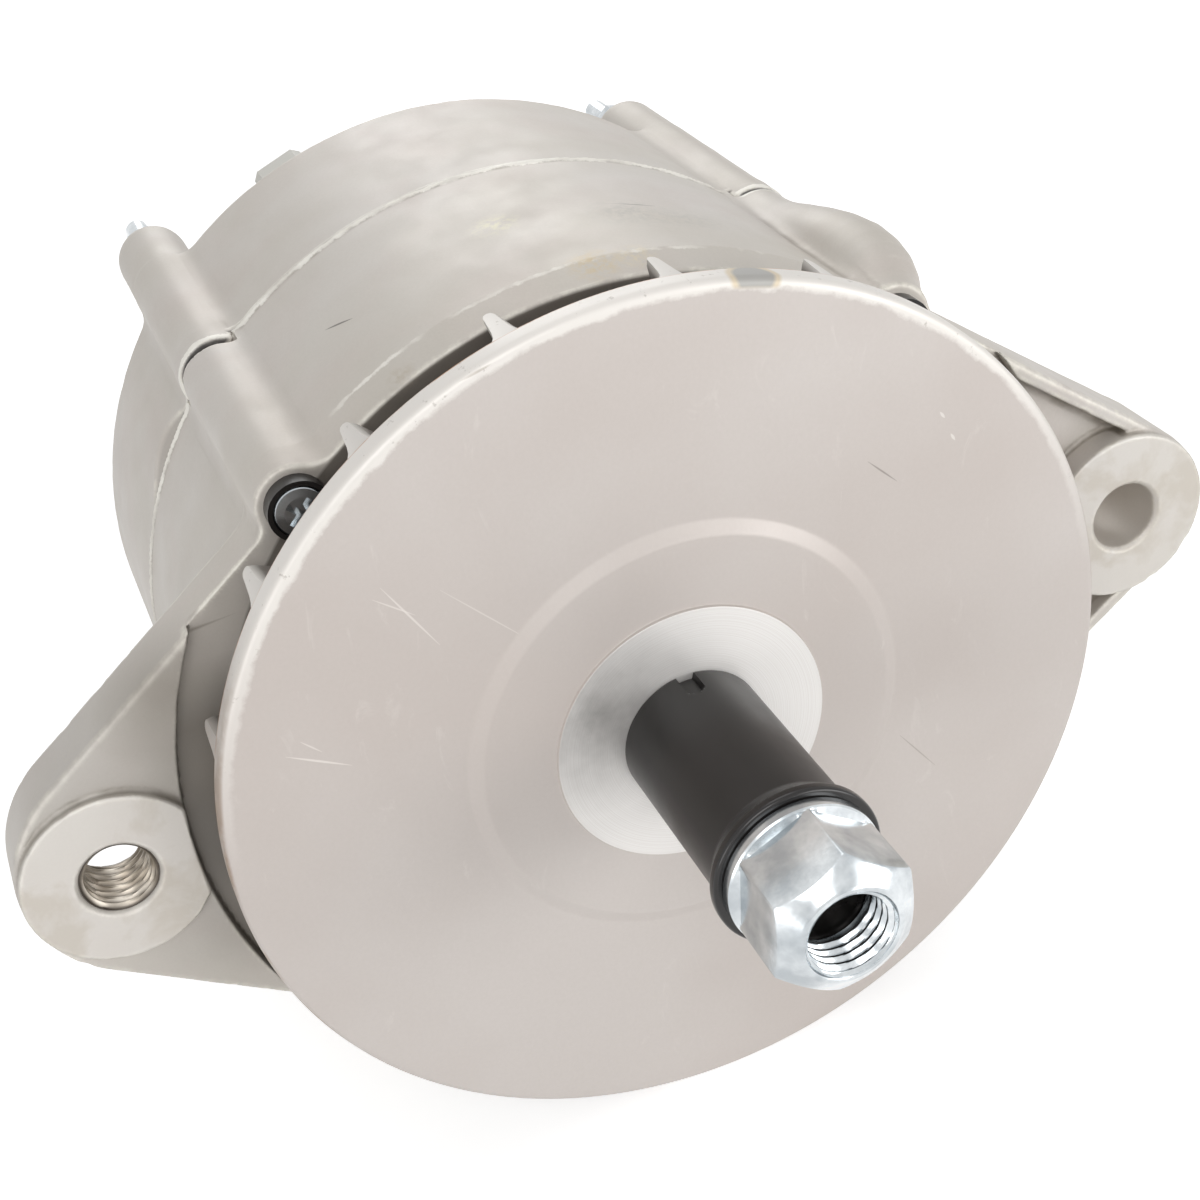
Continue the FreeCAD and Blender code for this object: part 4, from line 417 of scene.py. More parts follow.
def cast_piece(name, field, low, high, node):
    """Housing from its field: thinned where it is plain, with edge and hollow masks."""
    points, quads = surface_mesh(field, low, high, STEP)
    mesh = bpy.data.meshes.new(name + ".raw")
    mesh.from_pydata((points * MM).tolist(), [], quads.tolist())
    obj = linked(name + ".raw", mesh)
    # small faces stay on edges and beside them; plain and hidden walls are thinned
    curved = np.maximum((np.abs(bend(field, points, 1.0)) - 0.25) / 0.2,
                        (np.abs(bend(field, points, 3.0)) - 0.04) / 0.06)
    plain = 1 - np.clip(curved, 0, 1)
    within = np.hypot(points[:, 0], points[:, 2]) < INNER_R + 0.4
    plain[within & (points[:, 1] > PLATE_BACK_Y + 1) & (points[:, 1] < REAR_FACE_Y - 9)] = 1
    group = obj.vertex_groups.new(name="plain")
    levels = np.round(plain * 4).astype(int)
    for level in range(1, 5):
        group.add(np.nonzero(levels == level)[0].tolist(), level / 4, "REPLACE")
    thin = obj.modifiers.new("thin", "DECIMATE")
    thin.ratio = KEEP
    thin.vertex_group = "plain"
    thin.vertex_group_factor = 1.0
    done = bpy.data.meshes.new_from_object(obj.evaluated_get(bpy.context.evaluated_depsgraph_get()))
    bpy.data.objects.remove(obj)
    co = np.zeros(len(done.vertices) * 3, np.float32)
    done.vertices.foreach_get("co", co)
    points = co.reshape(-1, 3).astype(float) / MM
    distance, slope = gradient(field, points, 0.25)
    points -= np.clip(distance, -0.3, 0.3)[:, None] * slope
    turn = bend(field, points, 0.9)
    edge = np.clip((turn - 0.22) / 0.6, 0, 1)
    hollow = np.clip((-turn - 0.12) / 0.5, 0, 1)
    rough = value_noise(points, 9.0, 3) * 0.05 + value_noise(points, 2.4, 5) * 0.035
    chips = np.clip(value_noise(points, 3.0, 11) - 0.25, 0, 1) * edge * 0.45
    points += slope * (rough - chips)[:, None]
    points = np.clip(points, np.array(CAD_BOX[0]) / MM, np.array(CAD_BOX[1]) / MM)
    done.vertices.foreach_set("co", (points * MM).astype(np.float32).ravel())
    done.name = name
    done.shade_smooth()
    done.normals_split_custom_set_from_vertices(slope.astype(np.float32).tolist())
    for label, values in (("edge", edge), ("hollow", hollow)):
        layer = done.attributes.new(label, "FLOAT", "POINT")
        layer.data.foreach_set("value", values.astype(np.float32))
    done.materials.clear()
    done.materials.append(MATERIALS["cast_aluminium"])
    done.update()
    piece = linked(name, done)
    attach(piece, "housing")
    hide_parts(node)


def ring_faces(segments, count, flip=False):
    """Faces between equal closed columns of points that stand round an axis."""
    faces = []
    for s in range(segments):
        a, b = s * count, (s + 1) % segments * count
        for k in range(count):
            n = (k + 1) % count
            if flip:
                faces.append((a + k, a + n, b + n, b + k))
            else:
                faces.append((a + k, b + k, b + n, a + n))
    return faces


def revolved(profile, segments):
    """Points and faces of a closed (radius, y) profile turned about the Y axis."""
    profile = np.array(profile, float)
    angles = np.linspace(0, 2 * math.pi, segments, endpoint=False)
    points = np.stack([
        np.outer(np.cos(angles), profile[:, 0]),
        np.repeat(profile[None, :, 1], segments, 0),
        np.outer(np.sin(angles), profile[:, 0]),
    ], -1).reshape(-1, 3)
    return points, ring_faces(segments, len(profile))


def thread_rise(y, angle, pitch, steepness):
    """Height of a thread's ridge, from 0 in its root to 1 on its flat crest."""
    turn = (y / pitch + angle / (2 * math.pi)) % 1
    return min(1, (1 - abs(2 * turn - 1)) * steepness)


def rounded(corners, steps=5):
    """Closed profile whose corners (radius, y, round) are turned into small curves."""
    out = []
    total = len(corners)
    for k, (r, y, size) in enumerate(corners):
        if not size:
            out.append((r, y))
            continue
        here = np.array((r, y))
        before = np.array(corners[k - 1][:2]) - here
        after = np.array(corners[(k + 1) % total][:2]) - here
        lb, la = np.linalg.norm(before), np.linalg.norm(after)
        before, after = before / lb, after / la
        half = math.acos(max(-1, min(1, before @ after))) / 2
        reach = min(size / math.tan(half), lb * 0.49, la * 0.49)
        a, b = here + before * reach, here + after * reach
        for s in range(steps + 1):
            t = s / steps
            out.append(tuple((1 - t) ** 2 * a + 2 * t * (1 - t) * here + t * t * b))
    return out


# ---- materials
ROUND_LAY = (1.0, 14.0, 1.0)
# Worn spots on the housing: centre, radius, softness, tone, strength
MARKS = (
    ((-4.3, 62.9, 93.8), 3.6, 3.0, (226, 222, 196), 0.75),
    ((5.5, 31.5, 92.8), 4.0, 2.6, (206, 190, 160), 0.95),
    ((14.0, 31.5, 92.0), 3.0, 2.5, (214, 202, 176), 0.8),
    ((70.8, 52.6, 71.4), 3.0, 2.0, (214, 196, 150), 0.7),
    ((22.9, 55.8, 91.1), 6.0, 5.0, (176, 174, 168), 0.55),
    ((34.0, 52.0, 87.5), 5.0, 4.0, (180, 178, 172), 0.5),
    ((-38.0, 27.0, 85.0), 2.0, 2.0, (180, 168, 148), 0.7),
)
# Broad painted shade on the housing, on the left ear's web beside the fan: centre, radius,
# softness, tone, strength
SHADES = (
    ((-110.0, 26.0, 14.0), 26.0, 12.0, (150, 146, 139), 0.4),
    ((-108.0, 26.0, -22.0), 18.0, 12.0, (156, 152, 145), 0.35),
    ((-99.0, 22.0, 38.0), 10.0, 8.0, (136, 128, 118), 0.55),
    ((-93.0, 22.0, 16.0), 9.0, 6.0, (146, 138, 128), 0.45),
    ((-92.0, 24.0, -22.0), 10.0, 7.0, (140, 132, 122), 0.4),
)
# Thin dark scratches on the housing: two ends, half width
SCRATCHES = (
    (((-44.1, 61.7, 82.9), (-38.8, 57.4, 85.5)), 0.28),
    (((20.0, 62.0, 91.7), (30.0, 60.0, 89.0)), 0.2),
    (((50.2, 33.3, 79.3), (54.0, 33.0, 76.8)), 0.3),
)
# Scratches on the fan's face: two ends, half width, tone
FAN_SCRATCHES = (
    (((46.1, 2.1, 48.0), (52.1, 2.1, 41.4)), 0.22, (110, 100, 92)),
    (((-55.6, 2.1, 56.3), (-47.1, 2.1, 40.0)), 0.25, (236, 230, 224)),
    (((-57.6, 2.1, 54.4), (-50.4, 2.1, 48.2)), 0.2, (232, 226, 220)),
    (((-81.1, 2.1, 27.3), (-69.4, 2.1, 20.3)), 0.3, (240, 234, 228)),
    (((-77.7, 2.1, 29.5), (-74.2, 2.1, 25.6)), 0.2, (234, 228, 222)),
    (((-44.7, 2.1, 51.7), (-29.5, 2.1, 34.2)), 0.16, (226, 220, 214)),
    (((47.9, 2.1, -21.8), (55.9, 2.1, -33.6)), 0.16, (150, 140, 130)),
    (((62.9, 2.1, 53.7), (63.9, 2.1, 52.0)), 0.4, (238, 234, 228)),
    (((65.0, 2.1, 48.0), (65.9, 2.1, 46.2)), 0.4, (238, 234, 228)),
    (((-33.3, 2.6, 91.5), (-23.1, 2.6, 94.0)), 0.5, (128, 110, 92)),
)


class Graph:
    """Short names for building a node material."""

    def __init__(self, name):
        self.material = bpy.data.materials.new(name)
        self.material.use_nodes = True
        self.tree = self.material.node_tree
        self.shader = self.tree.nodes["Principled BSDF"]
        self.place = self.node("ShaderNodeTexCoord").outputs["Object"]
        self.colour = None

    def node(self, kind, inputs=None, **settings):
        made = self.tree.nodes.new(kind)
        for key, value in settings.items():
            setattr(made, key, value)
        for key, value in (inputs or {}).items():
            self.put(made.inputs[key], value)
        return made

    def put(self, socket, value):
        if isinstance(value, bpy.types.NodeSocket):
            self.tree.links.new(value, socket)
        else:
            socket.default_value = value

    def math(self, operation, a, b=0.0, clamp=False):
        made = self.node("ShaderNodeMath", operation=operation, use_clamp=clamp)
        for socket, value in zip(made.inputs, (a, b)):
            self.put(socket, value)
        return made.outputs[0]

    def noise(self, scale, detail=3.0, roughness=0.55, distortion=0.0, stretch=None):
        place = self.place
        if stretch:
            place = self.node("ShaderNodeMapping", {"Vector": place, "Scale": stretch}).outputs[0]
        inputs = {"Vector": place, "Scale": scale, "Detail": detail,
                  "Roughness": roughness, "Distortion": distortion}
        return self.node("ShaderNodeTexNoise", inputs).outputs["Fac"]

    def ramp(self, value, low, high, out_low=0.0, out_high=1.0):
        inputs = {"Value": value, "From Min": low, "From Max": high,
                  "To Min": out_low, "To Max": out_high}
        return self.node("ShaderNodeMapRange", inputs).outputs[0]

    def span(self, value, low, high, *outs):
        """A ramp whose two limits are given in millimetres."""
        return self.ramp(value, low * MM, high * MM, *outs)

    def mix(self, share, a, b):
        made = self.node("ShaderNodeMix", data_type="RGBA")
        self.put(made.inputs[0], share)
        for socket, value in ((made.inputs[6], a), (made.inputs[7], b)):
            self.put(socket, (*value, 1.0) if isinstance(value, tuple) else value)
        return made.outputs[2]

    def base(self, share, low, high):
        """Ground colour between two tones."""
        self.colour = self.mix(share, srgb(*low), srgb(*high))

    def paint(self, share, tone):
        """Layer of a tone over the colour so far."""
        self.colour = self.mix(share, self.colour, srgb(*tone))

    def mask(self, label):
        return self.node("ShaderNodeAttribute", attribute_name=label).outputs["Fac"]

    def vector(self, operation, a, b, output=0):
        return self.node("ShaderNodeVectorMath", {0: a, 1: b}, operation=operation).outputs[output]

    def near(self, centre, radius, soft):
        """1 within a radius of a point given in millimetres, fading to 0."""
        away = self.vector("DISTANCE", self.place, tuple(c * MM for c in centre), "Value")
        return self.span(away, radius + soft, radius - soft)

    def line(self, ends, width):
        """1 on a thin tapering scratch between two points given in millimetres."""
        start, end = (Vector(e) * MM for e in ends)
        whole = end - start
        away = self.vector("SUBTRACT", self.place, start)
        share = self.vector("DOT_PRODUCT", away, whole / whole.length_squared, "Value")
        along = self.math("MINIMUM", self.math("MAXIMUM", share, 0.0), 1.0)
        foot = self.node("ShaderNodeVectorMath", {0: whole, "Scale": along}, operation="SCALE")
        gap = self.vector("DISTANCE", away, foot.outputs[0], "Value")
        arch = self.math("SINE", self.math("MULTIPLY", along, math.pi))
        taper = self.math("MULTIPLY", arch, width * MM)
        return self.span(self.math("SUBTRACT", gap, taper), 0.1, -0.05, 0.0, 0.8)

    def axis(self, which):
        return self.node("ShaderNodeSeparateXYZ", {"Vector": self.place}).outputs[which]

    def radius(self, x=0.0):
        """Distance from a line along Y through x, in metres."""
        flat = self.vector("MULTIPLY", self.place, (1, 0, 1))
        return self.vector("DISTANCE", flat, (x * MM, 0, 0), "Value")

    def band(self, value, centre, half, soft):
        """1 where a value in metres lies within half of the centre, both in millimetres."""
        off = self.math("ABSOLUTE", self.math("SUBTRACT", value, centre * MM))
        return self.span(off, half + soft, half - soft)

    def both(self, *shares):
        """Product of two or more shares."""
        out = shares[0]
        for share in shares[1:]:
            out = self.math("MULTIPLY", out, share)
        return out

    def finish(self, roughness, metallic, bumps, **constants):
        self.put(self.shader.inputs["Base Color"], self.colour)
        self.put(self.shader.inputs["Roughness"], roughness)
        self.shader.inputs["Metallic"].default_value = metallic
        for key, value in constants.items():
            self.shader.inputs[key].default_value = value
        normal = None
        for height, strength, depth in bumps:
            inputs = {"Height": height, "Strength": strength, "Distance": depth * MM}
            bump = self.node("ShaderNodeBump", inputs)
            if normal:
                self.put(bump.inputs["Normal"], normal)
            normal = bump.outputs["Normal"]
        if normal:
            self.put(self.shader.inputs["Normal"], normal)
        return self.material


def srgb(*tone):
    """Linear colour of a tone whose red, green and blue run from 0 to 255."""
    shares = [c / 255 for c in tone]
    return tuple(c / 12.92 if c <= 0.04045 else ((c + 0.055) / 1.055) ** 2.4 for c in shares)


def around(radius, angle, y):
    """Point at a radius and an angle about the shaft."""
    return radius * math.cos(angle), y, radius * math.sin(angle)


def cast_aluminium():
    g = Graph("cast aluminium, satin silver")
    y = g.axis("Y")
    broad = g.ramp(g.noise(16, 3), 0.35, 0.65)
    g.base(broad, (202, 196, 187), (209, 204, 198))
    warm = g.ramp(g.noise(34, 2, 0.5, 0.8), 0.45, 0.7, 0.0, 0.35)
    g.paint(warm, (205, 194, 188))
    streak = g.ramp(g.noise(46, 4, 0.6, 0.4, (1.0, 0.3, 1.0)), 0.52, 0.75, 0.0, 0.16)
    g.paint(streak, (178, 170, 158))
    grain = g.ramp(g.noise(1500, 2), 0.3, 0.7, 0.0, 0.10)
    g.paint(grain, (172, 166, 156))
    # darker brown tone where the surface is concave, from the hollow mask
    crease_darkening = g.both(g.mask("hollow"), g.ramp(g.noise(140, 4), 0.3, 0.65, 0.15, 0.8))
    g.paint(crease_darkening, (128, 118, 104))
    uneven = g.ramp(g.noise(260, 5, 0.65), 0.4, 0.62, 0.12, 0.85)
    wear = g.math("MULTIPLY", g.mask("edge"), uneven, clamp=True)
    g.paint(wear, (236, 232, 221))
    away = g.radius()
    # painted shade on what the fan covers: the face behind its blades and the relief beside the
    # ears, darkened as in the fan's shadow
    low = g.span(g.axis("Z"), 40, 25)
    inner = g.span(away, 91.6, 90.9)
    relief = g.both(low, g.span(away, RELIEF_R + 0.6, RELIEF_R - 0.2))
    covered = g.math("MAXIMUM", inner, relief)
    behind = g.both(covered, g.span(y, FACE_Y + 1.0, FACE_Y + 0.2), 0.78)
    g.paint(behind, (92, 84, 76))
    # machined faces of the ears' bosses, stained
    boss = g.span(y, EAR_FACE_Y + 0.6, EAR_FACE_Y + 0.3)
    g.paint(g.both(boss, 0.5), (222, 218, 212))
    stain = g.ramp(g.noise(75, 4, 0.6, 0.3), 0.48, 0.62, 0.0, 0.4)
    g.paint(g.both(boss, stain), (186, 176, 160))
    # chipped pale lines along the seam, the bevel and the tubes' ends: y, width, strength, where
    ragged = g.noise(420, 5, 0.7)
    tubes = g.span(away, SHELL_R + 1.0, SHELL_R + 1.8)
    wall = g.math("SUBTRACT", 1.0, tubes)
    broken = g.both(wall, g.ramp(g.noise(70, 3, 0.6), 0.42, 0.58, 0.35, 1.0))
    scattered = g.both(wall, g.ramp(g.noise(52, 3, 0.6), 0.54, 0.66))
    for place, width, strength, where in (
            (SEAM_Y - 0.9, 1.3, 0.95, broken), (SEAM_Y + 1.7, 0.45, 0.7, broken),
            (BEVEL_Y - 0.3, 0.7, 0.8, scattered),
            (TUBE_SEAM_Y + 1.0, 1.3, 0.95, tubes), (TUBE_SEAM_Y - 1.3, 0.5, 0.8, tubes)):
        off = g.math("ABSOLUTE", g.math("SUBTRACT", y, place * MM))
        reach = g.math("ADD", g.math("MULTIPLY", ragged, 3.2 * width * MM), -0.95 * width * MM)
        line = g.span(g.math("SUBTRACT", off, reach), 0.25, -0.25)
        g.paint(g.both(line, where, strength), (242, 239, 231))
    # dark gaps at the seam and where the tubes meet
    gap = g.both(g.band(y, SEAM_Y + 0.4, 0.35, 0.15), wall, 0.8)
    g.paint(gap, (84, 77, 70))
    gap = g.both(g.band(y, TUBE_SEAM_Y - 0.45, 0.6, 0.15), tubes, 0.92)
    g.paint(gap, (48, 46, 48))
    # shaded floor of the crescent notch, darkest against the front housing
    notch = g.both(g.near(around(92, NOTCH_MIDDLE, SEAM_Y + 1), 13.0, 1.5),
                   g.span(away, REAR_R - 0.3, REAR_R - 0.9),
                   g.span(y, SEAM_Y + 5.0, SEAM_Y + 0.4, 0.25, 1.0), 0.85)
    notch = g.both(notch, g.span(y, SEAM_Y - 0.1, SEAM_Y + 0.1))
    g.paint(notch, (62, 58, 54))
    # painted shade in the depth of the wide gap at the upper left tube
    wide = g.near(around(101.5, WIDE_GAP_AT, 91.0), 3.8, 1.0)
    wide = g.both(wide, g.span(y, TUBE_SEAM_Y + 0.1, TUBE_SEAM_Y - 0.2), g.mask("hollow"), 3.0)
    g.paint(g.math("MINIMUM", wide, 0.9), (52, 55, 64))
    # painted shade on the left ear's web, kept off the bosses' faces
    for centre, size, soft, tone, strength in SHADES:
        shade = g.both(g.near(centre, size, soft), g.math("SUBTRACT", 1.0, boss), strength)
        g.paint(shade, tone)
    for centre, size, soft, tone, strength in MARKS:
        flecks = g.ramp(g.noise(520, 5, 0.7), 0.42, 0.6)
        patch = g.math("MULTIPLY", g.near(centre, size, soft), flecks, clamp=True)
        g.paint(g.both(patch, strength), tone)
    for ends, width in SCRATCHES:
        g.paint(g.line(ends, width), (96, 90, 84))
    rough = g.ramp(g.noise(90, 4), 0.3, 0.7, 0.42, 0.56)
    bumps = [(g.noise(1700, 3, 0.6), 0.2, 0.1), (g.noise(200, 4), 0.1, 0.25)]
    return g.finish(rough, 0.25, bumps)


def fan_paint():
    g = Graph("fan face, satin aluminium")
    g.base(g.ramp(g.noise(9, 3), 0.38, 0.62), (199, 190, 184), (207, 200, 195))
    grain = g.ramp(g.noise(1300, 2), 0.3, 0.7, 0.0, 0.07)
    g.paint(grain, (170, 162, 152))
    scuff = g.ramp(g.noise(120, 5, 0.7, 1.5, (1.0, 1.0, 0.35)), 0.62, 0.72, 0.0, 0.25)
    g.paint(scuff, (224, 218, 212))
    away, y = g.radius(), g.axis("Y")
    # rim: bare and bright above, partly a painted highlight, as only its upper arc is lightened;
    # worn brown below, a rusty line at its back
    ragged = g.math("MULTIPLY", g.noise(150, 5, 0.7), 3.4 * MM)
    upper = g.span(g.axis("Z"), 5, 60)
    rim = g.span(g.math("ADD", away, ragged), FAN_R - 1.2, FAN_R - 0.2, 0.0, 0.85)
    rim = g.both(rim, upper)
    g.paint(rim, (240, 236, 230))
    worn = g.both(g.span(away, FAN_R - 0.7, FAN_R - 0.2), g.math("SUBTRACT", 1.0, upper),
                  g.ramp(g.noise(90, 4, 0.6), 0.45, 0.6, 0.1, 0.7))
    g.paint(worn, (150, 118, 88))
    rust = g.both(g.band(y, FAN_BACK_Y - 0.35, 0.22, 0.12), g.span(away, FAN_R - 1.0, FAN_R - 0.6),
                  g.ramp(g.noise(110, 4, 0.6), 0.4, 0.6, 0.2, 0.9))
    g.paint(rust, (184, 122, 66))
    # painted shade between the blades and on the back of the disc
    back = g.both(g.span(y, FAN_BACK_Y - 0.3, FAN_BACK_Y + 1.5),
                  g.span(away, FAN_R - 0.4, FAN_R - 2.4), 0.8)
    g.paint(back, (80, 73, 66))
    chip = g.math("MULTIPLY", rim, g.ramp(g.noise(330, 4, 0.7), 0.62, 0.68), clamp=True)
    g.paint(g.both(chip, 0.5), (150, 140, 128))
    # the bare patch at the top of the rim, with a tan border
    edge = g.span(away, FAN_R - 2.4, FAN_R - 1.6)
    for reach, tone, strength in ((5.4, (214, 198, 168), 0.8), (4.2, (172, 171, 168), 0.95)):
        patch = g.both(g.near((27, 3.6, 94.3), reach, 0.4), edge, strength)
        g.paint(patch, tone)
    for ends, width, tone in FAN_SCRATCHES:
        g.paint(g.both(g.line(ends, width * 0.7), 0.7), tone)
    rough = g.ramp(g.noise(40, 4), 0.3, 0.7, 0.36, 0.5)
    bumps = [(g.noise(1500, 3, 0.6), 0.1, 0.07), (g.noise(60, 3), 0.06, 0.3)]
    return g.finish(rough, 0.15, bumps)


def machined_ring():
    """Turned face: fine rings with an anisotropic sheen, and a grey rubbed patch that also paints
    the dark side of the sheen as shade.
    """
    g = Graph("turned face of the fan hub")
    rings = g.node("ShaderNodeTexNoise", {"W": g.radius(), "Scale": 5200.0, "Detail": 2.0},
                   noise_dimensions="1D").outputs["Fac"]
    g.base(g.ramp(rings, 0.35, 0.65), (232, 228, 224), (243, 241, 238))
    # grey rubbed patch at the upper left, also painted shade for the dark side of the turned face's
    # sheen
    uneven = g.ramp(g.noise(180, 4, 0.55), 0.3, 0.7, 0.7, 1.0)
    rub_and_sheen_shade = g.both(g.near((-20, 0, 12), 13, 11), uneven, 0.75)
    g.paint(rub_and_sheen_shade, (118, 115, 112))
    rough = g.ramp(rings, 0.3, 0.7, 0.28, 0.36)
    return g.finish(rough, 0.25, [(rings, 0.08, 0.02)], Anisotropic=0.5)


def shaft_steel():
    """Turned steel, painted near black at the shaft's recessed front end as the shade deep in the
    nut's bore.
    """
    g = Graph("turned steel")
    streak = g.noise(900, 3, 0.6, 0.0, ROUND_LAY)
    g.base(g.ramp(g.noise(110, 4), 0.35, 0.65), (150, 150, 150), (190, 190, 188))
    # painted shade: the shaft's front end lies deep in the nut's bore
    bore_shade = g.span(g.axis("Y"), SHAFT_Y + 1.5, SHAFT_Y + 0.5)
    g.paint(bore_shade, (28, 25, 23))
    rough = g.ramp(g.noise(270, 4), 0.3, 0.7, 0.24, 0.36)
    return g.finish(rough, 0.9, [(streak, 0.2, 0.04)])


def gloss_black():
    g = Graph("black glossy washer")
    g.base(g.noise(60, 3), (14, 12, 12), (30, 26, 25))
    rough = g.ramp(g.noise(300, 3), 0.3, 0.7, 0.14, 0.26)
    return g.finish(rough, 0.0, [(g.noise(900, 2), 0.06, 0.03)])


def metal(name, low, high, rough, grain=900, stretch=None, metallic=1.0):
    """Metal between two tones; grain sets how fine its streaks are, stretch their lay."""
    g = Graph(name)
    g.base(g.ramp(g.noise(grain * 0.12, 4), 0.35, 0.65), low, high)
    streak = g.noise(grain, 3, 0.6, 0.0, stretch)
    g.paint(g.ramp(streak, 0.35, 0.7, 0.0, 0.25), low)
    roughness = g.ramp(g.noise(grain * 0.3, 4), 0.3, 0.7, rough * 0.8, rough * 1.25)
    return g.finish(roughness, metallic, [(streak, 0.2, 0.04)])


def ear_thread():
    """Cut thread in the ear: brown and dark in its roots, brighter on its crests."""
    g = Graph("cut thread, stained")
    depth = g.span(g.radius(-EAR_X), 7.1, 7.8)
    g.base(g.ramp(g.noise(160, 4), 0.35, 0.65), (166, 155, 140), (198, 191, 180))
    g.paint(g.both(depth, 0.85), (56, 48, 42))
    rough = g.ramp(g.noise(300, 3), 0.3, 0.7, 0.28, 0.4)
    return g.finish(rough, 0.7, [(g.noise(900, 3), 0.2, 0.04)])


def moulded(name, low, high, rough=0.5, grain=800):
    """Plastic, rubber or painted surface between two tones."""
    g = Graph(name)
    g.base(g.ramp(g.noise(grain * 0.05, 4), 0.35, 0.65), low, high)
    roughness = g.ramp(g.noise(grain * 0.2, 4), 0.3, 0.7, rough * 0.85, rough * 1.15)
    return g.finish(roughness, 0.0, [(g.noise(grain, 3), 0.05, 0.03)])


MATERIALS = {
    "cast_aluminium": cast_aluminium(),
    "fan_aluminium": fan_paint(),
    "plate_aluminium": metal(
        "rolled aluminium plate", (188, 188, 186), (208, 208, 206), 0.38, metallic=0.9),
    "black_steel": moulded("black oiled steel", (19, 17, 16), (31, 28, 27), 0.34, 500),
    "bright_zinc": metal("bright zinc plate", (178, 184, 188), (228, 232, 234), 0.18),
    "turned_steel": shaft_steel(),
    "bearing_steel": metal(
        "ground bearing steel", (176, 178, 180), (205, 206, 208), 0.14, 1400, ROUND_LAY),
    "cage_steel": metal("pressed cage steel", (168, 160, 146), (190, 184, 172), 0.34),
    "seal_rubber": moulded("seal rubber", (24, 24, 26), (38, 38, 40), 0.6),
    "pole_iron": metal("forged pole iron", (84, 80, 76), (112, 108, 102), 0.5, metallic=0.8),
    "lamination_iron": metal(
        "stacked laminations", (98, 96, 96), (128, 126, 124), 0.42, 1600, (1.0, 30.0, 1.0)),
    "enamelled_copper": metal(
        "enamelled copper", (128, 62, 30), (168, 88, 44), 0.3, 1300, (1.0, 9.0, 1.0)),
    "copper": metal("bare copper", (196, 118, 82), (218, 146, 108), 0.24, 1200, ROUND_LAY),
    "black_plastic": moulded("black moulded plastic", (22, 22, 24), (36, 36, 38), 0.48),
    "pale_plastic": moulded("pale moulded plastic", (214, 212, 204), (228, 226, 220), 0.45),
    "carbon": moulded("brush carbon", (40, 38, 38), (62, 60, 58), 0.55, 1500),
    "spring_steel": metal("spring wire", (160, 162, 166), (196, 198, 200), 0.22),
    "diode_case": metal("nickel diode case", (172, 168, 158), (202, 198, 190), 0.25),
    "pressed_cover": metal(
        "pressed cover, silver", (190, 188, 184), (200, 198, 194), 0.42, metallic=0.6),
}
for part in frame["record"]["subparts"]:
    solid = frame["nodes"][part["node"]]
    solid.data.materials.clear()
    solid.data.materials.append(MATERIALS[part["material_slot"]])

# ---- housings
# Grid step in millimetres, and the share of faces that stays after thinning
STEP, KEEP = 0.62, 0.36
cast_piece("front_casting", front_field, (-139.5, 18.5, -101), (140.5, 97, 101), "front_housing")
cast_piece("rear_casting", rear_field, (-102, 90.5, -102), (102, 178, 102), "rear_housing")


# ---- fan
def fan_points():
    """Disc with its hub, raised plateau and rounded rim, then the blades on its back."""
    profile = rounded([
        (FAN_BORE_R, 0.0, 0.2), (FAN_HUB_R, 0.0, 0.25), (FAN_HUB_R + 0.15, 0.7, 0.25),
        (PLATEAU_R, 0.7, 2.2), (PLATEAU_R + 3.0, FAN_FACE_Y, 2.0),
        (FAN_R, FAN_FACE_Y, 1.9), (FAN_R, FAN_BACK_Y, 0.5),
        (FAN_BOSS_R + 6, FAN_BACK_Y, 1.5), (FAN_BOSS_R, FAN_BACK_Y + 6, 2.0),
        (FAN_BOSS_R, FAN_BOSS_Y, 0.5), (FAN_BORE_R, FAN_BOSS_Y, 0.3),
    ])
    points, faces = revolved(profile, 360)
    points = list(points)
    for k in range(BLADES):
        base = len(points)
        more, rings = blade(math.radians(BLADE_FIRST + 360 / BLADES * k))
        points += more
        faces += [tuple(base + i for i in face) for face in rings]
    return np.array(points), faces


def blade(angle):
    """Skewed wedge with a rounded crest; its outer end follows the rim."""
    skew = math.radians(BLADE_SKEW)
    along = np.array((math.cos(skew), math.sin(skew)))
    side = np.array((-along[1], along[0]))
    half = [(5.2, FAN_BACK_Y - 0.4), (3.7, FAN_BACK_Y + 0.5), (2.8, FAN_BACK_Y + 2.0),
            (2.3, FAN_BACK_Y + 4.0), (1.5, BLADE_TIP_Y - 1.3), (1.0, BLADE_TIP_Y - 0.35)]
    section = [(-w, y) for w, y in half] + [(0, BLADE_TIP_Y)] + half[::-1]
    stations = [0.0, 0.05, 0.2, 0.5, 0.8, 0.96, 1.0]
    c, s = math.cos(angle), math.sin(angle)
    points = []
    for share in stations:
        for w, y in section:
            start = -BLADE_LENGTH - (BLADE_TIP_Y - y) * 0.25
            offset = np.array((FAN_R, 0.0)) + side * w
            b = offset @ along
            rim = FAN_R - 0.15 - (0.5 if share == 1.0 else 0.0)
            end = -b + math.sqrt(max(b * b - offset @ offset + rim * rim, 0))
            reach = start + (end - start) * share
            pinch = 1 - 0.25 * (share in (0.0, 1.0))
            q = np.array((FAN_R, 0.0)) + side * w * pinch + along * reach
            points.append((q[0] * c - q[1] * s, y, q[0] * s + q[1] * c))
    n = len(section)
    faces = []
    for k in range(len(stations) - 1):
        for i in range(n):
            j = (i + 1) % n
            faces.append((k * n + i, k * n + j, (k + 1) * n + j, (k + 1) * n + i))
    faces.append(tuple(range(n - 1, -1, -1)))
    faces.append(tuple((len(stations) - 1) * n + i for i in range(n)))
    return points, faces


piece_from("fan_disc_and_blades", fan_points(), "rotor", ["fan"], "fan_aluminium", 30, None,
           (machined_ring(), lambda c: math.hypot(c.x, c.z) < FAN_HUB_R and c.y < 0.02))


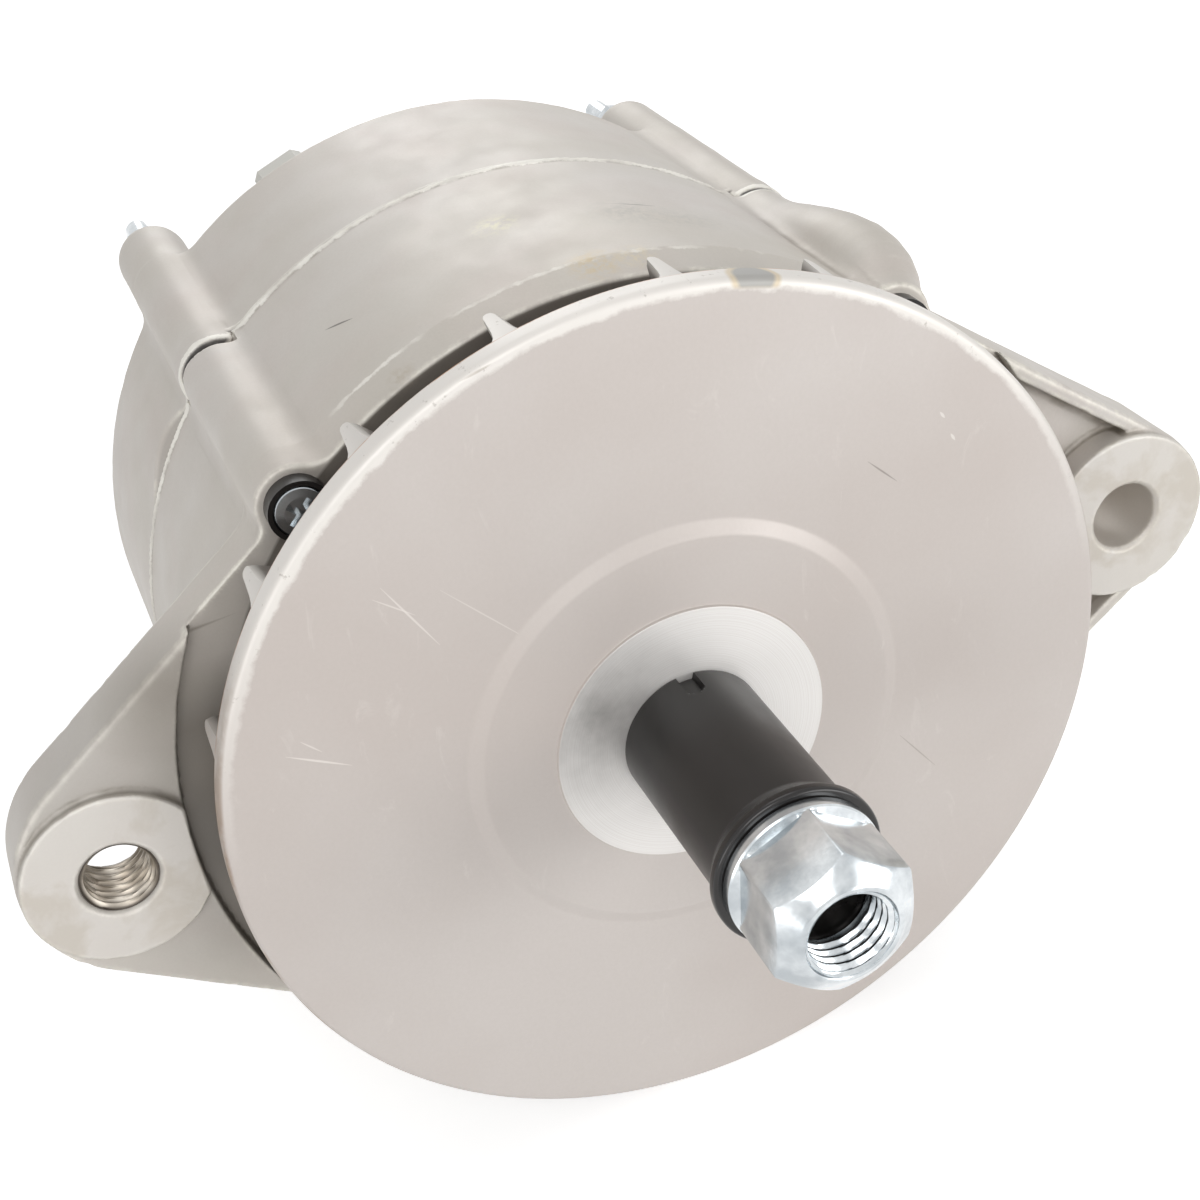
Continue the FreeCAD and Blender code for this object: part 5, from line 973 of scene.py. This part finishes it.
# ---- sleeve, seat washer and nut
def sleeve_points():
    """Tube with soft ends and a short key slot at the top of its foot."""
    profile = rounded([
        (SLEEVE_BORE_R, SLEEVE_Y + 3, 0), (SLEEVE_BORE_R, 0.0, 0.2), (SLEEVE_R, 0.0, 0.5),
        (SLEEVE_R, SLEEVE_Y + 3.2, 2.5), (SLEEVE_R + SLEEVE_FLARE, SLEEVE_Y, 0.3),
        (THREAD_R + 0.05, SLEEVE_Y, 0.2), (THREAD_R + 0.05, SLEEVE_Y + 3, 0),
    ])
    slot_rows = (0.02, 0.04, 0.06, 0.08, 0.10, 0.12, 0.135, 0.15, 0.165, 0.18, 0.6)
    rows = []
    for k, (r, y) in enumerate(profile):
        rows.append((r, y))
        nr, ny = profile[(k + 1) % len(profile)]
        if r > 15 and nr > 15 and abs(ny - y) > 20:  # the long outer wall
            rows += [(r, y + (ny - y) * t) for t in slot_rows]
    points, faces = revolved(rows, 240)
    x, y, z = points.T
    r = np.hypot(x, z)
    across = np.abs(x) / SLOT_HALF
    run = np.clip((-y - SLOT_RUN) / SLOT_ROUND, 0, None)
    inside = np.clip((1.0 - np.hypot(across, run)) / 0.12, 0, 1) * (z > 0) * (r > 14)
    scale = np.where(inside > 0, (r - SLOT_DEPTH * inside) / r, 1.0)
    points[:, 0] *= scale
    points[:, 2] *= scale
    return points, faces


piece_from("spacer_tube", sleeve_points(), "rotor", ["spacer_sleeve"], "black_steel", 35)

profile = rounded([
    (THREAD_R + 0.05, SLEEVE_Y, 0.1), (SLEEVE_R + 0.1, SLEEVE_Y, 0), (SEAT_R, SLEEVE_Y + 0.05, 0.7),
    (SEAT_R, SEAT_Y, 0.9), (THREAD_R + 0.05, SEAT_Y, 0.2),
])
piece_from("seat_collar", revolved(profile, 200), "rotor", ["seat_washer"], "black_steel", 35,
           gloss_black())


def nut_points():
    """Flanged nut: six flats cut by a cone in front, with thread turns in its bore."""
    segments, rows = 288, 56
    flat = NUT_CORNER_R * math.cos(math.pi / 6)
    slope = (NUT_CORNER_R - NUT_FRONT_R) / NUT_CONE
    points = []
    for s in range(segments):
        a = 2 * math.pi * s / segments
        phase = (math.degrees(a) - NUT_CORNER) % 60 - 30
        hexagon = min(flat / math.cos(math.radians(phase)), NUT_CORNER_R - 0.12)
        meet = NUT_FRONT_Y + (hexagon - NUT_FRONT_R) * NUT_CONE / (NUT_CORNER_R - NUT_FRONT_R)
        column = [(NUT_MOUTH_R - 0.1, NUT_FRONT_Y + 0.55), (NUT_MOUTH_R + 0.05, NUT_FRONT_Y + 0.12),
                  (NUT_MOUTH_R + 0.3, NUT_FRONT_Y), (NUT_FRONT_R - 0.25, NUT_FRONT_Y),
                  (NUT_FRONT_R + 0.1, NUT_FRONT_Y + 0.12), (NUT_FRONT_R + 0.5, NUT_FRONT_Y + 0.42)]
        for t in (0.5, 0.92):
            y = NUT_FRONT_Y + 0.42 + (meet - NUT_FRONT_Y - 0.42) * t
            column.append((NUT_FRONT_R + (y - NUT_FRONT_Y) * slope, y))
        column += [(hexagon - 0.06, meet + 0.02), (hexagon, meet + 0.3), (hexagon, FLANGE_Y - 0.9),
                   (hexagon - 0.02, FLANGE_Y - 0.35),
                   (max(hexagon, FLANGE_R - 0.7), FLANGE_Y - 0.02),
                   (FLANGE_R - 0.3, FLANGE_Y + 0.08), (FLANGE_R, FLANGE_Y + 0.4),
                   (FLANGE_R, SEAT_Y - 0.4), (FLANGE_R - 0.4, SEAT_Y), (THREAD_R + 0.5, SEAT_Y),
                   (THREAD_R + 0.02, SEAT_Y - 0.5), (THREAD_R + 0.02, SHAFT_Y + 0.2)]
        for k in range(rows):
            y = SHAFT_Y - (SHAFT_Y - NUT_FRONT_Y - 0.9) * k / (rows - 1)
            fade = min(1, k / 4, (rows - 1 - k) / 3)
            column.append((THREAD_R + 0.02 - 0.95 * thread_rise(y, a, NUT_PITCH, 1.35) * fade, y))
        points += [(r * math.cos(a), y, r * math.sin(a)) for r, y in column]
    return np.array(points), ring_faces(segments, len(points) // segments, True)


piece_from("flanged_nut", nut_points(), "rotor", ["shaft_nut"], "bright_zinc", 24)


def thread_insert():
    """Thread turns in the left ear's hole, as a thin shell inside the plain hole."""
    segments, rows = 144, 66
    y0, y1 = EAR_FACE_Y + 0.9, INSERT_END_Y
    points = []
    for s in range(segments):
        a = 2 * math.pi * s / segments
        column = [(INSERT_R, y1), (INSERT_R, y0)]
        for k in range(rows):
            y = y0 + (y1 - y0) * k / (rows - 1)
            fade = min(1, k / 4, (rows - 1 - k) / 4)
            column.append((7.9 - thread_rise(y, a, EAR_PITCH, 1.3) * fade, y))
        points += [(r * math.cos(a) - EAR_X, y, r * math.sin(a)) for r, y in column]
    return np.array(points), ring_faces(segments, rows + 2)


piece_from("ear_thread_turns", thread_insert(), "housing", (), "cast_aluminium", 24, ear_thread())

# ---- camera, light and floor
scene = bpy.context.scene
camera = linked("camera", bpy.data.cameras.new("camera"))
# The camera's own axes: to the right, up, and back from the object
RIGHT = Vector((0.91795565, -0.36745326, -0.14945073))
UP = Vector((0.3184036, 0.45781305, 0.83007612))
BACK = Vector((-0.23659368, -0.80955871, 0.53725052))
turn = Matrix((RIGHT, UP, BACK)).transposed().to_4x4()
camera.matrix_world = Matrix.Translation((-0.106380, -0.313695, 0.247293)) @ turn
camera.data.lens = 59.71
camera.data.sensor_width = 36.0
camera.data.clip_start = 0.01
scene.camera = camera
scene.view_settings.view_transform = "Standard"


def lamp(name, place, target, size, power):
    """Round area lamp; sizes in metres, power in watts."""
    data = bpy.data.lights.new(name, "AREA")
    data.shape = "DISK"
    data.size = size
    data.energy = power
    aim = (Vector(target) - Vector(place)).to_track_quat("-Z", "Y")
    linked(name, data).matrix_world = Matrix.Translation(place) @ aim.to_matrix().to_4x4()


lamp("key", (-0.3, -1.05, 0.75), (0, 0.05, 0), 0.8, 4.7)
lamp("top", (0.15, 0.4, 1.25), (0, 0.1, 0), 0.8, 1.7)
lamp("fill", (0.8, -0.85, 0.0), (0, 0.05, 0), 0.9, 7.2)
lamp("low", (-0.8, -0.6, 0.0), (0, 0.05, 0), 0.6, 2.3)
lamp("back", (0.3, 1.2, 0.7), (0, 0.1, 0), 0.8, 3.0)


def levels(tree, light, background, socket):
    """Strength for lighting rays and for those that see it: camera, glossy, transmission."""
    path = tree.nodes.new("ShaderNodeLightPath")
    seen = path.outputs["Is Camera Ray"]
    for kind in ("Is Glossy Ray", "Is Transmission Ray"):
        either = tree.nodes.new("ShaderNodeMath")
        either.operation = "MAXIMUM"
        tree.links.new(seen, either.inputs[0])
        tree.links.new(path.outputs[kind], either.inputs[1])
        seen = either.outputs[0]
    span = tree.nodes.new("ShaderNodeMapRange")
    span.inputs["To Min"].default_value = light
    span.inputs["To Max"].default_value = background
    tree.links.new(seen, span.inputs["Value"])
    tree.links.new(span.outputs[0], socket)


world = bpy.data.worlds.new("studio")
scene.world = world
world.use_nodes = True
background = world.node_tree.nodes["Background"]
background.inputs["Color"].default_value = (1, 1, 1, 1)
levels(world.node_tree, 0.38, 1.0, background.inputs["Strength"])


def floor_material():
    """Matt floor that takes the shadow, lifted to white for the rays that see it."""
    material = bpy.data.materials.new("studio floor")
    material.use_nodes = True
    tree = material.node_tree
    tree.nodes.clear()
    out = tree.nodes.new("ShaderNodeOutputMaterial")
    both = tree.nodes.new("ShaderNodeAddShader")
    matt = tree.nodes.new("ShaderNodeBsdfDiffuse")
    matt.inputs["Color"].default_value = (0.8, 0.8, 0.8, 1)
    glow = tree.nodes.new("ShaderNodeEmission")
    levels(tree, 0.0, 0.6, glow.inputs["Strength"])
    tree.links.new(matt.outputs[0], both.inputs[0])
    tree.links.new(glow.outputs[0], both.inputs[1])
    tree.links.new(both.outputs[0], out.inputs["Surface"])
    return material


FLOOR_Z, FLOOR_HALF = CAD_BOX[0][2], 6.0
corners = ((-1, -1), (1, -1), (1, 1), (-1, 1))
corners = [(x * FLOOR_HALF, y * FLOOR_HALF, FLOOR_Z) for x, y in corners]
mesh = bpy.data.meshes.new("studio_floor")
mesh.from_pydata(corners, [], [(0, 1, 2, 3)])
mesh.materials.append(floor_material())
floor = linked("studio_floor", mesh)
